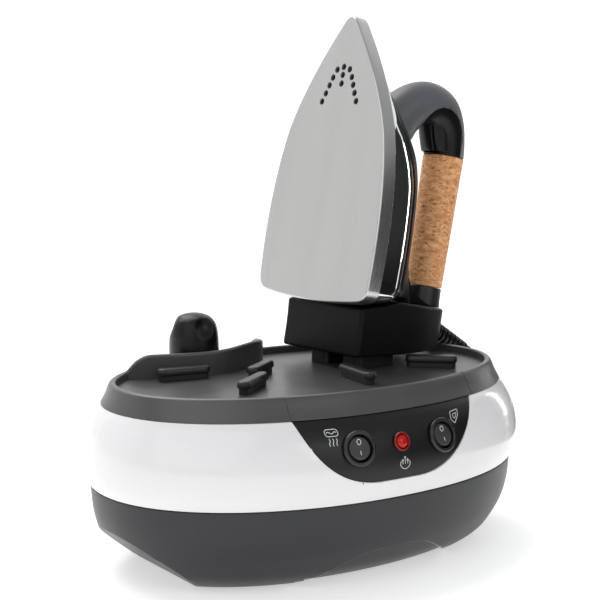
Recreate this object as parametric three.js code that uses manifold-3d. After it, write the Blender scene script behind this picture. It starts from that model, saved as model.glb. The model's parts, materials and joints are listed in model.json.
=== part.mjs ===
// A steam ironing station: an iron standing on its heel on an oval boiler base, joined to it by a steam hose.
// Units are millimetres, +Z is up, and the origin is the centre of the base on the surface it stands on.
// The control panel faces -Y, the iron's soleplate faces -X and its handle faces +X.
import * as THREE from 'three';
import { mergeVertices } from 'three/addons/utils/BufferGeometryUtils.js';
import Module from 'manifold-3d';

const wasm = await Module();
wasm.setup();

// ---- driving dimensions of the base ----
const GAP = 0.3; // clearance between pieces that touch
const OVAL_POWER = 2.1; // how square the base's oval is; 2 is an ellipse
const OVAL_SIDES = 32;
const WALL = 2.6;
const HOUSING_BOTTOM = 1.2;
const HOUSING_TOP = 57.2;
const BAND_TOP = 109.4;
const RIM_TOP = 123;
const PLATE_TOP = 118;
const PLATE_THICKNESS = 2.5;
const PANEL_HALF_WIDTH = 72;
const PANEL_BOTTOM = 70;
const PANEL_CENTRE_X = -3.5;
const SWITCH_HEIGHT = 91.8;
const SWITCH_SPREAD = 32.5; // from the panel's centre to each switch
const LAMP_X = -4.8;
const FRONT_ARCH = [
  [0, 23.5], [10, 23.2], [20, 21.8], [28, 19.6], [36, 16], [42, 12.8], [48, 9.2], [54, 5.8],
  [60, 3], [66, 1.1],
];
const END_SLOPE = { start: 110, run: 42 / 34 };
const PAN = { bottom: 3, top: 28 };

// Outside of the base as [half length, half depth, height], from the floor up.
const HOUSING_OUTSIDE = [
  [126, 72.5, HOUSING_BOTTOM],
  [132, 80, 4],
  [139.3, 88, 10],
  [145, 93.5, 18],
  [150, 99, 28],
  [153.3, 102.8, 40],
  [155, 104.7, HOUSING_TOP],
];
const BAND_OUTSIDE = [
  [155, 104.7, HOUSING_TOP + GAP],
  [158.2, 107.8, 64],
  [159.5, 109, 74],
  [158.8, 108.2, 84],
  [155.8, 104.6, 96],
  [151.5, 99, 105],
  [148.1, 94.8, BAND_TOP],
];

// ---- driving dimensions of the iron, in its own frame ----
// Here z runs up the soleplate and x runs from the soleplate to the handle.
const IRON_PLACE = new THREE.Vector3(14, 19.6, 167.8); // the middle of the soleplate's rear edge
const IRON_TURN = THREE.MathUtils.degToRad(5);
const IRON_LEAN = THREE.MathUtils.degToRad(11.4);
const SOLE_LENGTH = 196.2;
const SOLE_HALF_WIDTH = 58;
const SOLE_THICKNESS = 11.5;
const CHAMBER_TOP = SOLE_THICKNESS + 2; // depth of the steam chamber's cover
const SKIRT_DEPTH = 41;
const HANDLE_X = 109.5;
const CORK_RADIUS = { bottom: 13.4, top: 15 };
const CORK_BOTTOM = 20.6;
const CORK_TOP = 117;
const HEEL_HALF_WIDTH = 39.5;

// ---- driving dimensions of the hose ----
const HOSE_DIAMETER = 10;
const COIL_CENTRE = new THREE.Vector3(96, 172, 0);
const COIL_RADIUS = 55; // to the middle of its turns, which lie two wide and three high
const COIL_LAYERS = 3;

// ---- materials ----
const plastic = (color, roughness) => new THREE.MeshStandardMaterial({ color, roughness, metalness: 0 });
const metal = (color, roughness) => new THREE.MeshStandardMaterial({ color, roughness, metalness: 1 });
const finish = {
  white: () => plastic(0xeeeeec, 0.22),
  dark: () => plastic(0x46474a, 0.45),
  black: () => plastic(0x1d1e20, 0.4),
  grey: () => plastic(0x8d9094, 0.4),
  rubber: () => plastic(0x222324, 0.7),
  red: () => plastic(0xd0201c, 0.25),
  cork: () => plastic(0xcb9a66, 0.85),
  hose: () => plastic(0x2a2b2d, 0.6),
  sole: () => metal(0xc6c4c1, 0.35),
  chrome: () => metal(0xd8dadc, 0.08),
  steel: () => metal(0xa9abad, 0.3),
  brass: () => metal(0xb5924c, 0.3),
};

const baseGroup = new THREE.Group();
const ironTurned = new THREE.Group();
ironTurned.position.copy(IRON_PLACE);
ironTurned.rotation.z = IRON_TURN;
const iron = new THREE.Group();
iron.rotation.y = IRON_LEAN;
ironTurned.add(iron);

function addPart(parent, name, geometry, material) {
  const mesh = new THREE.Mesh(geometry, material);
  mesh.name = name;
  parent.add(mesh);
  return mesh;
}

// ---- solids ----
function toSolid(geometry) {
  const bare = geometry.clone();
  for (const name of Object.keys(bare.attributes)) {
    if (name !== 'position') bare.deleteAttribute(name);
  }
  const merged = mergeVertices(bare, 1e-3);
  return new wasm.Manifold(new wasm.Mesh({
    numProp: 3,
    vertProperties: new Float32Array(merged.attributes.position.array),
    triVerts: new Uint32Array(merged.index.array),
  }));
}

function toGeometry(solid) {
  const mesh = solid.getMesh();
  const geometry = new THREE.BufferGeometry();
  geometry.setAttribute('position', new THREE.BufferAttribute(mesh.vertProperties, 3));
  geometry.setIndex(new THREE.BufferAttribute(mesh.triVerts, 1));
  geometry.computeVertexNormals();
  return geometry;
}

const cut = (geometry, ...tools) => toGeometry(
  tools.reduce((solid, tool) => solid.subtract(toSolid(tool)), toSolid(geometry)),
);
const join = (geometry, ...others) => toGeometry(
  others.reduce((solid, other) => solid.add(toSolid(other)), toSolid(geometry)),
);
const common = (geometry, ...others) => toGeometry(
  others.reduce((solid, other) => solid.intersect(toSolid(other)), toSolid(geometry)),
);

// The biggest of the separate bodies that a cut leaves.
const biggest = (geometry) => toGeometry(
  toSolid(geometry).decompose().reduce((best, body) => (body.volume() > best.volume() ? body : best)),
);

// A closed solid through a row of rings of equal counts; closed joins the last ring to the first.
function loft(rings, closed = false) {
  const count = rings[0].length;
  const points = rings.flat();
  const faces = [];
  const steps = closed ? rings.length : rings.length - 1;
  for (let ring = 0; ring < steps; ring += 1) {
    const low = ring * count;
    const high = ((ring + 1) % rings.length) * count;
    for (let i = 0; i < count; i += 1) {
      const next = (i + 1) % count;
      faces.push(low + i, low + next, high + next, low + i, high + next, high + i);
    }
  }
  if (!closed) {
    for (const [start, turn] of [[0, true], [(rings.length - 1) * count, false]]) {
      const middle = points.length;
      const end = points.slice(start, start + count);
      points.push([0, 1, 2].map((axis) => end.reduce((sum, point) => sum + point[axis], 0) / count));
      for (let i = 0; i < count; i += 1) {
        const pair = [start + i, start + ((i + 1) % count)];
        faces.push(middle, ...(turn ? pair.reverse() : pair));
      }
    }
  }
  const geometry = new THREE.BufferGeometry();
  geometry.setAttribute('position', new THREE.Float32BufferAttribute(points.flat(), 3));
  geometry.setIndex(faces);
  if (toSignedVolume(geometry) < 0) {
    for (let i = 0; i < faces.length; i += 3) [faces[i], faces[i + 1]] = [faces[i + 1], faces[i]];
    geometry.setIndex(faces);
  }
  geometry.computeVertexNormals();
  return geometry;
}

function toSignedVolume(geometry) {
  const { position } = geometry.attributes;
  const [a, b, c] = [new THREE.Vector3(), new THREE.Vector3(), new THREE.Vector3()];
  let volume = 0;
  for (let i = 0; i < geometry.index.count; i += 3) {
    a.fromBufferAttribute(position, geometry.index.getX(i));
    b.fromBufferAttribute(position, geometry.index.getX(i + 1));
    c.fromBufferAttribute(position, geometry.index.getX(i + 2));
    volume += a.dot(b.cross(c)) / 6;
  }
  return volume;
}

function ovalRing(a, b, z, sides = OVAL_SIDES) {
  return Array.from({ length: sides }, (_, i) => {
    const angle = (2 * Math.PI * i) / sides;
    const [c, s] = [Math.cos(angle), Math.sin(angle)];
    const stretch = (Math.abs(c) ** OVAL_POWER + Math.abs(s) ** OVAL_POWER) ** (-1 / OVAL_POWER);
    return [a * c * stretch, b * s * stretch, z];
  });
}
const inset = (profile, distance) => profile.map(([a, b, z]) => [a - distance, b - distance, z]);
const ovalRings = (profile) => profile.map(([a, b, z]) => ovalRing(a, b, z));
const ovalSolid = (profile) => loft(ovalRings(profile));
const ovalShell = (outside, inside) => loft(ovalRings([...outside, ...[...inside].reverse()]), true);

const boxAt = (size, centre) => new THREE.BoxGeometry(...size).translate(...centre);
// A cylinder or cone along Z from height low to height high.
function post(radius, low, high, { x = 0, y = 0, sides = 20, topRadius = radius } = {}) {
  return new THREE.CylinderGeometry(topRadius, radius, high - low, sides)
    .rotateX(Math.PI / 2)
    .translate(x, y, (low + high) / 2);
}
// A ring or turned body about Z from [radius, height] points, listed anticlockwise round the section.
function turned(points, sides = 24) {
  return new THREE.LatheGeometry(points.map(([r, z]) => new THREE.Vector2(r, z)), sides).rotateX(Math.PI / 2);
}
const tubeSection = (radius, low, high, wall, sides) => turned([
  [radius - wall, low], [radius, low], [radius, high], [radius - wall, high], [radius - wall, low],
], sides);

function shapeOf(points) {
  return new THREE.Shape(points.map(([x, y]) => new THREE.Vector2(x, y)));
}
// An outline in X and Z, given thickness along Y about the middle plane.
function slabXZ(shape, thickness, { curveSegments = 8, y = 0 } = {}) {
  return new THREE.ExtrudeGeometry(shape, { depth: thickness, bevelEnabled: false, curveSegments })
    .rotateX(Math.PI / 2)
    .translate(0, y + thickness / 2, 0);
}
// An outline in X and Y, given thickness along Z from a height.
function slabXY(shape, low, thickness, { bevel = 0, curveSegments = 8 } = {}) {
  return new THREE.ExtrudeGeometry(shape, {
    depth: thickness - 2 * bevel,
    bevelEnabled: bevel > 0,
    bevelThickness: bevel,
    bevelSize: bevel,
    bevelOffset: -bevel,
    bevelSegments: 1,
    curveSegments,
  }).translate(0, 0, low + bevel);
}
function roundedRect(width, height, radius) {
  const [w, h] = [width / 2, height / 2];
  const shape = new THREE.Shape();
  shape.moveTo(-w + radius, -h);
  shape.lineTo(w - radius, -h);
  shape.absarc(w - radius, -h + radius, radius, -Math.PI / 2, 0);
  shape.lineTo(w, h - radius);
  shape.absarc(w - radius, h - radius, radius, 0, Math.PI / 2);
  shape.lineTo(-w + radius, h);
  shape.absarc(-w + radius, h - radius, radius, Math.PI / 2, Math.PI);
  shape.lineTo(-w, -h + radius);
  shape.absarc(-w + radius, -h + radius, radius, Math.PI, 1.5 * Math.PI);
  return shape;
}
function circleShape(radius) {
  return new THREE.Shape().absarc(0, 0, radius, 0, 2 * Math.PI);
}
function rod(points, radius, steps, sides = 6) {
  const stops = points.map((point) => new THREE.Vector3(...point));
  const path = new THREE.CatmullRomCurve3(stops, false, 'centripetal');
  return new THREE.ExtrudeGeometry(circleShape(radius), {
    steps, bevelEnabled: false, curveSegments: sides / 2, extrudePath: path,
  });
}
// A bell-shaped opening, symmetrical, from its right half's points.
const bellShape = (right) => shapeOf([
  [right[right.length - 1][0], -5],
  ...[...right].reverse(),
  ...right.slice(1).map(([x, z]) => [-x, z]),
  [-right[right.length - 1][0], -5],
]);

// Where the base's outside is at a height, and which way it faces there, on its front.
function frontPlace(x, z) {
  const high = BAND_OUTSIDE.findIndex((row) => row[2] >= z);
  const [low, top] = [BAND_OUTSIDE[high - 1], BAND_OUTSIDE[high]];
  const mix = (z - low[2]) / (top[2] - low[2]);
  const a = THREE.MathUtils.lerp(low[0], top[0], mix);
  const b = THREE.MathUtils.lerp(low[1], top[1], mix);
  const across = Math.abs(x / a) ** OVAL_POWER;
  const y = -b * (1 - across) ** (1 / OVAL_POWER);
  const slopeX = Math.sign(x) * (Math.abs(x / a) ** (OVAL_POWER - 1)) / a;
  const slopeY = -(Math.abs(y / b) ** (OVAL_POWER - 1)) / b;
  const lean = (top[1] - low[1]) / (top[2] - low[2]);
  const normal = new THREE.Vector3(slopeX, slopeY, 0).normalize();
  normal.z = -lean;
  return { position: new THREE.Vector3(x, y, z), normal: normal.normalize() };
}
// A group whose +Z points straight out of the panel and whose +Y points up along it.
function panelGroup(x, z, depth) {
  const { position, normal } = frontPlace(x, z);
  const across = new THREE.Vector3(-normal.y, normal.x, 0).normalize();
  const up = new THREE.Vector3().crossVectors(normal, across);
  const group = new THREE.Group();
  group.quaternion.setFromRotationMatrix(new THREE.Matrix4().makeBasis(across, up, normal));
  group.position.copy(position).addScaledVector(normal, depth);
  group.updateMatrix();
  return group;
}

// ---- base: shells ----
const frontArch = slabXZ(bellShape(FRONT_ARCH), 300);
// Everything beyond a slope that rises to an end of the base, moved inward.
const beyondSlope = (end, inward) => slabXZ(shapeOf([
  [END_SLOPE.start - inward - 12 * END_SLOPE.run, -12],
  [END_SLOPE.start - inward + 60 * END_SLOPE.run, 60],
  [END_SLOPE.start - inward + 60 * END_SLOPE.run + 60, 60],
  [END_SLOPE.start - inward + 60 * END_SLOPE.run + 60, -12],
].map(([x, z]) => [end * x, z])), 300);
const bothSlopes = (inward) => [-1, 1].map((end) => beyondSlope(end, inward));
const housingInside = inset(HOUSING_OUTSIDE, WALL);
const glandHole = (x) => post(9, 0, 40, { sides: 16 }).rotateX(-Math.PI / 2).translate(x, 80, 40);
const HOSE_GLAND_X = 12;
const MAINS_GLAND_X = -46;
const SLOPE_WALL = 4.1;
const [lowestInside] = housingInside;
const topInside = housingInside[housingInside.length - 1];
addPart(baseGroup, 'lower_housing', cut(
  ovalSolid(HOUSING_OUTSIDE),
  ...bothSlopes(0),
  cut(ovalSolid([
    [lowestInside[0], lowestInside[1], -1],
    ...housingInside,
    [topInside[0], topInside[1], topInside[2] + 1],
  ]), ...bothSlopes(SLOPE_WALL)),
  frontArch,
  glandHole(HOSE_GLAND_X),
  glandHole(MAINS_GLAND_X),
), finish.dark());

const panOutside = [
  [125.9, 73.3, PAN.bottom], [128.4, 76.4, 4], [135.9, 84.6, 10], [141.6, 90.1, 18],
  [146.6, 95.6, PAN.top],
];
const panInside = [
  [126.9, 75.2, PAN.bottom + 3], [132.5, 81.2, 10], [138.6, 87.1, 18], [144.4, 93.4, PAN.top + 1],
];
const PAN_SETBACK = SLOPE_WALL + 0.8;
const SCREW_PLACES = [[-96, -22], [96, -22], [-96, 22], [96, 22]];
const FOOT_PLACES = [[-78, -36], [78, -36], [-78, 36], [78, 36]];
addPart(baseGroup, 'bottom_pan', cut(
  cut(ovalSolid(panOutside), ...bothSlopes(PAN_SETBACK)),
  cut(ovalSolid(panInside), ...bothSlopes(PAN_SETBACK + SLOPE_WALL)),
  ...SCREW_PLACES.map(([x, y]) => post(2.6, 0, 9, { x, y, sides: 8 })),
), finish.dark());

function panelOutline(grow) {
  const half = PANEL_HALF_WIDTH + grow;
  const bottom = PANEL_BOTTOM - grow;
  const top = BAND_TOP + 20;
  const shape = new THREE.Shape();
  const right = half - 3;
  shape.moveTo(right, top);
  shape.lineTo(right, BAND_TOP);
  shape.bezierCurveTo(right - 13, BAND_TOP - 13.4, right - 29, bottom, PANEL_CENTRE_X + 12, bottom);
  shape.lineTo(PANEL_CENTRE_X - 18.5, bottom);
  shape.bezierCurveTo(-half + 26, bottom, -half + 5, BAND_TOP - 25.4, -half, BAND_TOP);
  shape.lineTo(-half, top);
  return shape;
}
const panelCutter = (grow) => slabXZ(panelOutline(grow), 120, { curveSegments: 7, y: -90 });
addPart(baseGroup, 'middle_band', cut(
  ovalShell(BAND_OUTSIDE, inset(BAND_OUTSIDE, WALL)),
  panelCutter(0),
), finish.white());

const panelShell = ovalShell(inset(BAND_OUTSIDE, 0.6), inset(BAND_OUTSIDE, 0.6 + WALL));
const switchPlaces = [PANEL_CENTRE_X - SWITCH_SPREAD, PANEL_CENTRE_X + SWITCH_SPREAD];
const SWITCH_BARREL = 10;
const LAMP_BARREL = 5;
const holeThrough = (x, z, radius) => {
  const group = panelGroup(x, z, 0);
  return post(radius, -12, 12, { sides: 16 }).applyMatrix4(group.matrix);
};
addPart(baseGroup, 'control_panel', cut(
  common(panelShell, panelCutter(-GAP)),
  ...switchPlaces.map((x) => holeThrough(x, SWITCH_HEIGHT, SWITCH_BARREL + GAP)),
  holeThrough(LAMP_X, SWITCH_HEIGHT + 0.7, LAMP_BARREL + GAP),
), finish.dark());

// ---- base: top cover with its rim, its plate and the guard wall round the boiler cap ----
const rimProfile = [
  [148.1, 94.8, BAND_TOP + GAP],
  [145.6, 91, 115],
  [143.3, 87.3, RIM_TOP - 1.6],
  [141.6, 85.5, RIM_TOP],
  [139.6, 83.5, RIM_TOP],
  [138.4, 82.3, RIM_TOP - 1.4],
  [137.8, 81.7, PLATE_TOP],
  [137.8, 81.7, PLATE_TOP - PLATE_THICKNESS],
  [144.5, 91.2, BAND_TOP + GAP],
];
const rim = ovalShell(rimProfile.slice(0, 6), rimProfile.slice(6).reverse());
const CAP_X = -55.5;
const CAP_Y = 57.8;
const CAP_HOLE = 16;
const plate = ovalSolid([
  [138.3, 82.2, PLATE_TOP - PLATE_THICKNESS],
  [138.3, 82.2, PLATE_TOP],
]);
const guardLine = new THREE.SplineCurve([
  [-112, 55], [-104, 51.5], [-92, 46.5], [-76, 40.5], [-58, 37.2], [-42, 37.2], [-26, 42.5],
  [-12, 49], [-4, 57], [0, 65],
].map(([x, y]) => new THREE.Vector2(x, y)));
const GUARD_STEPS = 20;
const GUARD_HALF = 2;
function guardHeight(along) {
  const rise = THREE.MathUtils.smoothstep(along, -0.08, 0.2);
  const crest = THREE.MathUtils.smoothstep(along, 0.45, 0.78)
    - THREE.MathUtils.smoothstep(along, 0.82, 1);
  return 16 * rise + 1.5 * crest;
}
const guardRings = Array.from({ length: GUARD_STEPS + 1 }, (_, i) => {
  const along = i / GUARD_STEPS;
  const middle = guardLine.getPointAt(along);
  const side = guardLine.getTangentAt(along).rotateAround(new THREE.Vector2(), Math.PI / 2);
  const top = PLATE_TOP + guardHeight(along);
  const taper = along > 0.93 ? Math.sqrt(1 - ((along - 0.93) / 0.07) ** 2 * 0.75) : 1;
  const half = GUARD_HALF + 2 * THREE.MathUtils.smoothstep(along, 0.72, 0.94);
  return [
    [-half, PLATE_TOP - 1],
    [half, PLATE_TOP - 1],
    [half * taper, top - 1.2],
    [half * 0.5 * taper, top],
    [-half * 0.5 * taper, top],
    [-half * taper, top - 1.2],
  ].map(([offset, z]) => [middle.x + side.x * offset, middle.y + side.y * offset, z]);
});
const frontRimBlock = (grow) => boxAt(
  [2 * (PANEL_HALF_WIDTH + grow), 60, 30],
  [0, -90, RIM_TOP],
);
const innerRimKeep = ovalSolid([[138.2, 82.1, 100], [138.2, 82.1, 130]]);
const frontRimRegion = cut(frontRimBlock(0), innerRimKeep);
addPart(baseGroup, 'top_cover', cut(
  join(rim, plate, loft(guardRings)),
  frontRimRegion,
  post(CAP_HOLE, 100, 119.9, { x: CAP_X, y: CAP_Y, sides: 24 }),
), finish.dark());
addPart(baseGroup, 'front_rim', common(
  loft(ovalRings([
    ...rimProfile.slice(0, 5),
    [138.5, 82.4, RIM_TOP - 1.4],
    [138.5, 82.4, BAND_TOP + GAP + 2],
    [144.5, 91.2, BAND_TOP + GAP],
  ]), true),
  frontRimBlock(-GAP),
), finish.dark());

// ---- base: rest pads and rubber feet ----
const PAD = { width: 9, height: 8.3 };
const PAD_PLACES = [
  // x, y, direction in degrees, length
  [-79.5, 31, -9, 37],
  [-30.5, 13, 35, 34.5],
  [-61, -24.5, 36, 40],
  [13.4, -37, -98, 41],
  [84.5, -28, -43, 36],
];
// A ring with straight sides and round ends.
function stadiumRing(length, width, z) {
  const radius = width / 2;
  return Array.from({ length: 12 }, (_, i) => {
    const angle = (Math.PI * (i % 6)) / 5 - Math.PI / 2;
    const end = i < 6 ? 1 : -1;
    return [end * (length / 2 - radius + radius * Math.cos(angle)), end * radius * Math.sin(angle), z];
  });
}
PAD_PLACES.forEach(([x, y, direction, length], i) => {
  const pad = addPart(baseGroup, `rest_pad_${i + 1}`, loft([
    stadiumRing(length - 2, PAD.width - 2.6, 0),
    stadiumRing(length - 2, PAD.width - 2.6, PAD.height - 4.4),
    stadiumRing(length, PAD.width, PAD.height - 3.6),
    stadiumRing(length, PAD.width, PAD.height - 1.6),
    stadiumRing(length - 2.4, PAD.width - 2.4, PAD.height),
  ]), finish.rubber());
  pad.position.set(x, y, PLATE_TOP + GAP);
  pad.rotation.z = THREE.MathUtils.degToRad(direction);
});
FOOT_PLACES.forEach(([x, y], i) => {
  const disc = post(8, 0, PAN.bottom - GAP, { sides: 16 });
  const foot = addPart(baseGroup, `rubber_foot_${i + 1}`, disc, finish.rubber());
  foot.position.set(x, y, 0);
});
SCREW_PLACES.forEach(([x, y], i) => {
  const head = post(3.6, PAN.bottom + 3 + GAP, PAN.bottom + 5.5, { sides: 8 });
  const shank = post(1.9, PAN.bottom + 0.6, PAN.bottom + 4, { sides: 8 });
  const screw = addPart(baseGroup, `base_screw_${i + 1}`, join(head, shank), finish.steel());
  screw.position.set(x, y, 0);
});

// ---- base: boiler, what it feeds, and its cap ----
const BOILER = { x: -20, y: 20, length: 76, depth: 57, bottom: 50, top: 100, wall: 1.5 };
const BOILER_EDGE = 9;
const boilerProfile = (wall) => {
  const [a, b] = [BOILER.length - wall, BOILER.depth - wall];
  const [low, high] = [BOILER.bottom + wall, BOILER.top - wall];
  return [
    [a - BOILER_EDGE, b - BOILER_EDGE, low],
    [a - 2, b - 2, low + BOILER_EDGE - 2],
    [a, b, low + BOILER_EDGE + 4],
    [a, b, high - BOILER_EDGE - 4],
    [a - 2, b - 2, high - BOILER_EDGE + 2],
    [a - BOILER_EDGE, b - BOILER_EDGE, high],
  ];
};
const boilerCentred = (geometry) => geometry.translate(BOILER.x, BOILER.y, 0);
const NECK = { bore: 8.6, outside: 11, flange: 15.6, flangeBottom: 112, top: 117.8 };
addPart(baseGroup, 'boiler_tank', cut(
  boilerCentred(ovalSolid(boilerProfile(0))),
  boilerCentred(ovalSolid(boilerProfile(BOILER.wall))),
  post(NECK.bore, 90, 110, { x: CAP_X, y: CAP_Y }),
), finish.steel());
addPart(baseGroup, 'boiler_neck', turned([
  [NECK.bore, BOILER.top + GAP], [NECK.outside, BOILER.top + GAP], [NECK.outside, NECK.flangeBottom],
  [NECK.flange, NECK.flangeBottom], [NECK.flange, NECK.top], [NECK.bore, NECK.top],
  [NECK.bore, BOILER.top + GAP],
]), finish.brass()).position.set(CAP_X, CAP_Y, 0);
addPart(baseGroup, 'boiler_heater', new THREE.TorusGeometry(30, 3.3, 6, 20).scale(1.6, 1, 1)
  .translate(BOILER.x, BOILER.y, BOILER.bottom - 3.3 - GAP), finish.steel());

const CAP = { radius: 17, plug: 8.1, bottom: 118.8, top: 157.8 };
const SEAL = { inside: 8.7, outside: 13.9, bottom: NECK.top + GAP, thickness: 1.9 };
const capBody = turned([
  [0, CAP.bottom - 13], [CAP.plug, CAP.bottom - 13], [CAP.plug, CAP.bottom + 1.6],
  [SEAL.outside + 0.4, CAP.bottom + 1.6], [SEAL.outside + 0.4, CAP.bottom], [CAP.radius, CAP.bottom],
  [CAP.radius, 138], [CAP.radius - 0.7, 145.5], [CAP.radius - 2.4, 151], [11, 155], [6, 157.2],
  [0, CAP.top],
], 24);
const DIMPLE = { radius: 13, reach: 24, height: 152.5 };
const dimples = [-90, 30, 150].map((degrees) => {
  const angle = THREE.MathUtils.degToRad(degrees);
  return new THREE.SphereGeometry(DIMPLE.radius, 12, 8)
    .translate(DIMPLE.reach * Math.cos(angle), DIMPLE.reach * Math.sin(angle), DIMPLE.height);
});
addPart(baseGroup, 'boiler_cap', cut(capBody, ...dimples), finish.black()).position.set(CAP_X, CAP_Y, 0);
addPart(baseGroup, 'cap_gasket', tubeSection(
  SEAL.outside, SEAL.bottom, SEAL.bottom + SEAL.thickness, SEAL.outside - SEAL.inside, 24,
), finish.rubber()).position.set(CAP_X, CAP_Y, 0);

addPart(baseGroup, 'pressure_switch', join(
  post(5, BOILER.top + GAP, BOILER.top + 4, { sides: 12 }),
  post(10, BOILER.top + 3, BOILER.top + 12, { sides: 16 }),
), finish.black()).position.set(14, 44, 0);
const VALVE = { x: 84, y: 20, low: 60, pipeHeight: 72 };
addPart(baseGroup, 'steam_valve', join(
  boxAt([26, 24, 22], [0, 0, 11]),
  post(7, 21, 36, { sides: 14 }),
), finish.brass()).position.set(VALVE.x, VALVE.y, VALVE.low);
const boilerEnd = BOILER.x + BOILER.length + GAP;
addPart(baseGroup, 'boiler_pipe', new THREE.CylinderGeometry(3, 3, VALVE.x - 13 - GAP - boilerEnd, 10)
  .rotateZ(Math.PI / 2)
  .translate((VALVE.x - 13 - GAP + boilerEnd) / 2, VALVE.y, VALVE.pipeHeight), finish.steel());
addPart(baseGroup, 'steam_pipe', rod([
  [VALVE.x, VALVE.y + 12 + GAP, 70], [VALVE.x, VALVE.y + 22, 69], [80, 64, 56], [60, 76, 44], [38, 75, 40.5],
  [24, 71, 40], [15, 74, 40], [HOSE_GLAND_X, 79, 40], [HOSE_GLAND_X, 87.2, 40],
], 3, 16), finish.steel());
addPart(baseGroup, 'terminal_block', cut(
  boxAt([44, 18, 14], [0, 0, 7]),
  ...[-15, -5, 5, 15].map((x) => post(2.5, 6, 20, { x, sides: 8 })),
), finish.white()).position.set(60, -26, PAN.bottom + 3 + GAP);

// ---- base: glands at the back, for the steam hose and for the mains lead ----
const housingBody = ovalSolid(inset(HOUSING_OUTSIDE, -GAP));
const alongY = (geometry, x, y, z) => geometry.rotateX(-Math.PI / 2).translate(x, y, z);
const GLAND = { height: 40, flange: 13, barrel: 8.6, tip: 137 };
function gland(x, flangeEnd, relief) {
  const disc = post(GLAND.flange, 0, flangeEnd - 94, { sides: 20 });
  const flange = cut(alongY(disc, x, 94, GLAND.height), housingBody);
  const barrel = alongY(post(GLAND.barrel, 0, 20, { sides: 16 }), x, 88, GLAND.height);
  return join(flange, barrel, relief);
}
const hoseRelief = alongY(
  post(9, 0, GLAND.tip - 106, { sides: 16, topRadius: 6.4 }), HOSE_GLAND_X, 106, GLAND.height,
);
addPart(baseGroup, 'hose_gland', gland(HOSE_GLAND_X, 107, hoseRelief), finish.black());
const mainsCollar = alongY(post(9, 0, 6.9, { sides: 16 }), MAINS_GLAND_X, 103, GLAND.height);
const mainsBore = alongY(post(4.2, 0, 60, { sides: 12 }), MAINS_GLAND_X, 80, GLAND.height);
addPart(baseGroup, 'mains_gland', cut(gland(MAINS_GLAND_X, 104, mainsCollar), mainsBore), finish.black());

// ---- panel: switches and lamp ----
const BEZEL = { radius: 11.2, opening: 8.3, stand: 2.4 };
const ROCKER = { radius: 7.9, thickness: 7, tilt: THREE.MathUtils.degToRad(-8) };
switchPlaces.forEach((x, i) => {
  const side = ['left', 'right'][i];
  const group = panelGroup(x, SWITCH_HEIGHT, 0);
  baseGroup.add(group);
  const inside = BEZEL.opening;
  addPart(group, `switch_bezel_${side}`, turned([
    [inside, -11], [SWITCH_BARREL, -11], [SWITCH_BARREL, 0.4], [BEZEL.radius, 0.4],
    [BEZEL.radius, 1.2], [BEZEL.radius - 1.2, BEZEL.stand], [inside + 0.8, BEZEL.stand],
    [inside, BEZEL.stand - 0.8], [inside, -11],
  ], 16), finish.black());
  const paddle = new THREE.SphereGeometry(ROCKER.radius, 12, 6).scale(1, 1, 0.62);
  const face = boxAt([20, 20, 10], [0, 0, -10 - ROCKER.thickness / 2 + 1]);
  const rocker = addPart(group, `rocker_${side}`, cut(paddle, face), finish.grey());
  rocker.position.z = -0.8;
  rocker.rotation.x = ROCKER.tilt;
});
const lampGroup = panelGroup(LAMP_X, SWITCH_HEIGHT + 0.7, 0);
baseGroup.add(lampGroup);
addPart(lampGroup, 'lamp_bezel', turned([
  [4.5, -9], [LAMP_BARREL, -9], [LAMP_BARREL, 0.4], [6.2, 0.4], [6.2, 1], [5.6, 1.9], [4.5, 1.9], [4.5, -9],
], 16), finish.red());
addPart(lampGroup, 'lamp_lens', turned([
  [0, -8], [4.2, -8], [4.2, 1.4], [3.1, 2.3], [0, 2.7],
], 14), finish.red());

// ---- iron: soleplate ----
function soleShape() {
  const w = SOLE_HALF_WIDTH;
  const right = [
    [[25, -2.5], [45, 0], [49, 0.7]],
    [[54, 1.7], [w - 1.2, 4.5], [w - 0.6, 10]],
    [[w + 2, 48], [w - 0.5, 85], [w - 9, 116]],
    [[w - 16, 138], [26, 165], [9.5, 187]],
    [[5.4, 192.6], [3.2, SOLE_LENGTH], [0, SOLE_LENGTH]],
  ];
  const shape = new THREE.Shape();
  shape.moveTo(0, -2.5);
  right.forEach(([a, b, c]) => shape.bezierCurveTo(...a, ...b, ...c));
  const mirrored = ([y, z]) => [-y, z];
  for (let i = right.length - 1; i >= 0; i -= 1) {
    const [a, b] = right[i];
    const start = i > 0 ? right[i - 1][2] : [0, -2.5];
    shape.bezierCurveTo(...mirrored(b), ...mirrored(a), ...mirrored(start));
  }
  return shape;
}
const OUTLINE_POINTS = 40;
const soleOutline = soleShape().getSpacedPoints(OUTLINE_POINTS).slice(0, OUTLINE_POINTS)
  .map(({ x, y }) => [x, y]);
const OUTLINE_MIDDLE = 90;
const outlineRing = (scaleY, scaleZ, depthAt) => soleOutline.map(([y, z]) => {
  const height = OUTLINE_MIDDLE + (z - OUTLINE_MIDDLE) * scaleZ;
  return [depthAt(height), y * scaleY, height];
});
const steamHoles = [
  [0, 160], [0, 154.4], [0, 148.4],
  ...[[6.4, 158.2], [9.7, 152.7], [12.2, 147.3], [14.8, 141.7], [17.6, 136]]
    .flatMap(([y, z]) => [[y, z], [-y, z]]),
];
const alongX = (geometry, x, y, z) => geometry.rotateY(Math.PI / 2).translate(x, y, z);
const soleBody = loft([
  outlineRing(0.978, 0.988, () => 0),
  outlineRing(1, 1, () => 1.2),
  outlineRing(1, 1, () => SOLE_THICKNESS),
]);
addPart(iron, 'soleplate', cut(
  soleBody,
  ...steamHoles.map(([y, z]) => alongX(post(1.7, -2, 20, { sides: 8 }), 0, y, z)),
), finish.sole());
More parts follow.
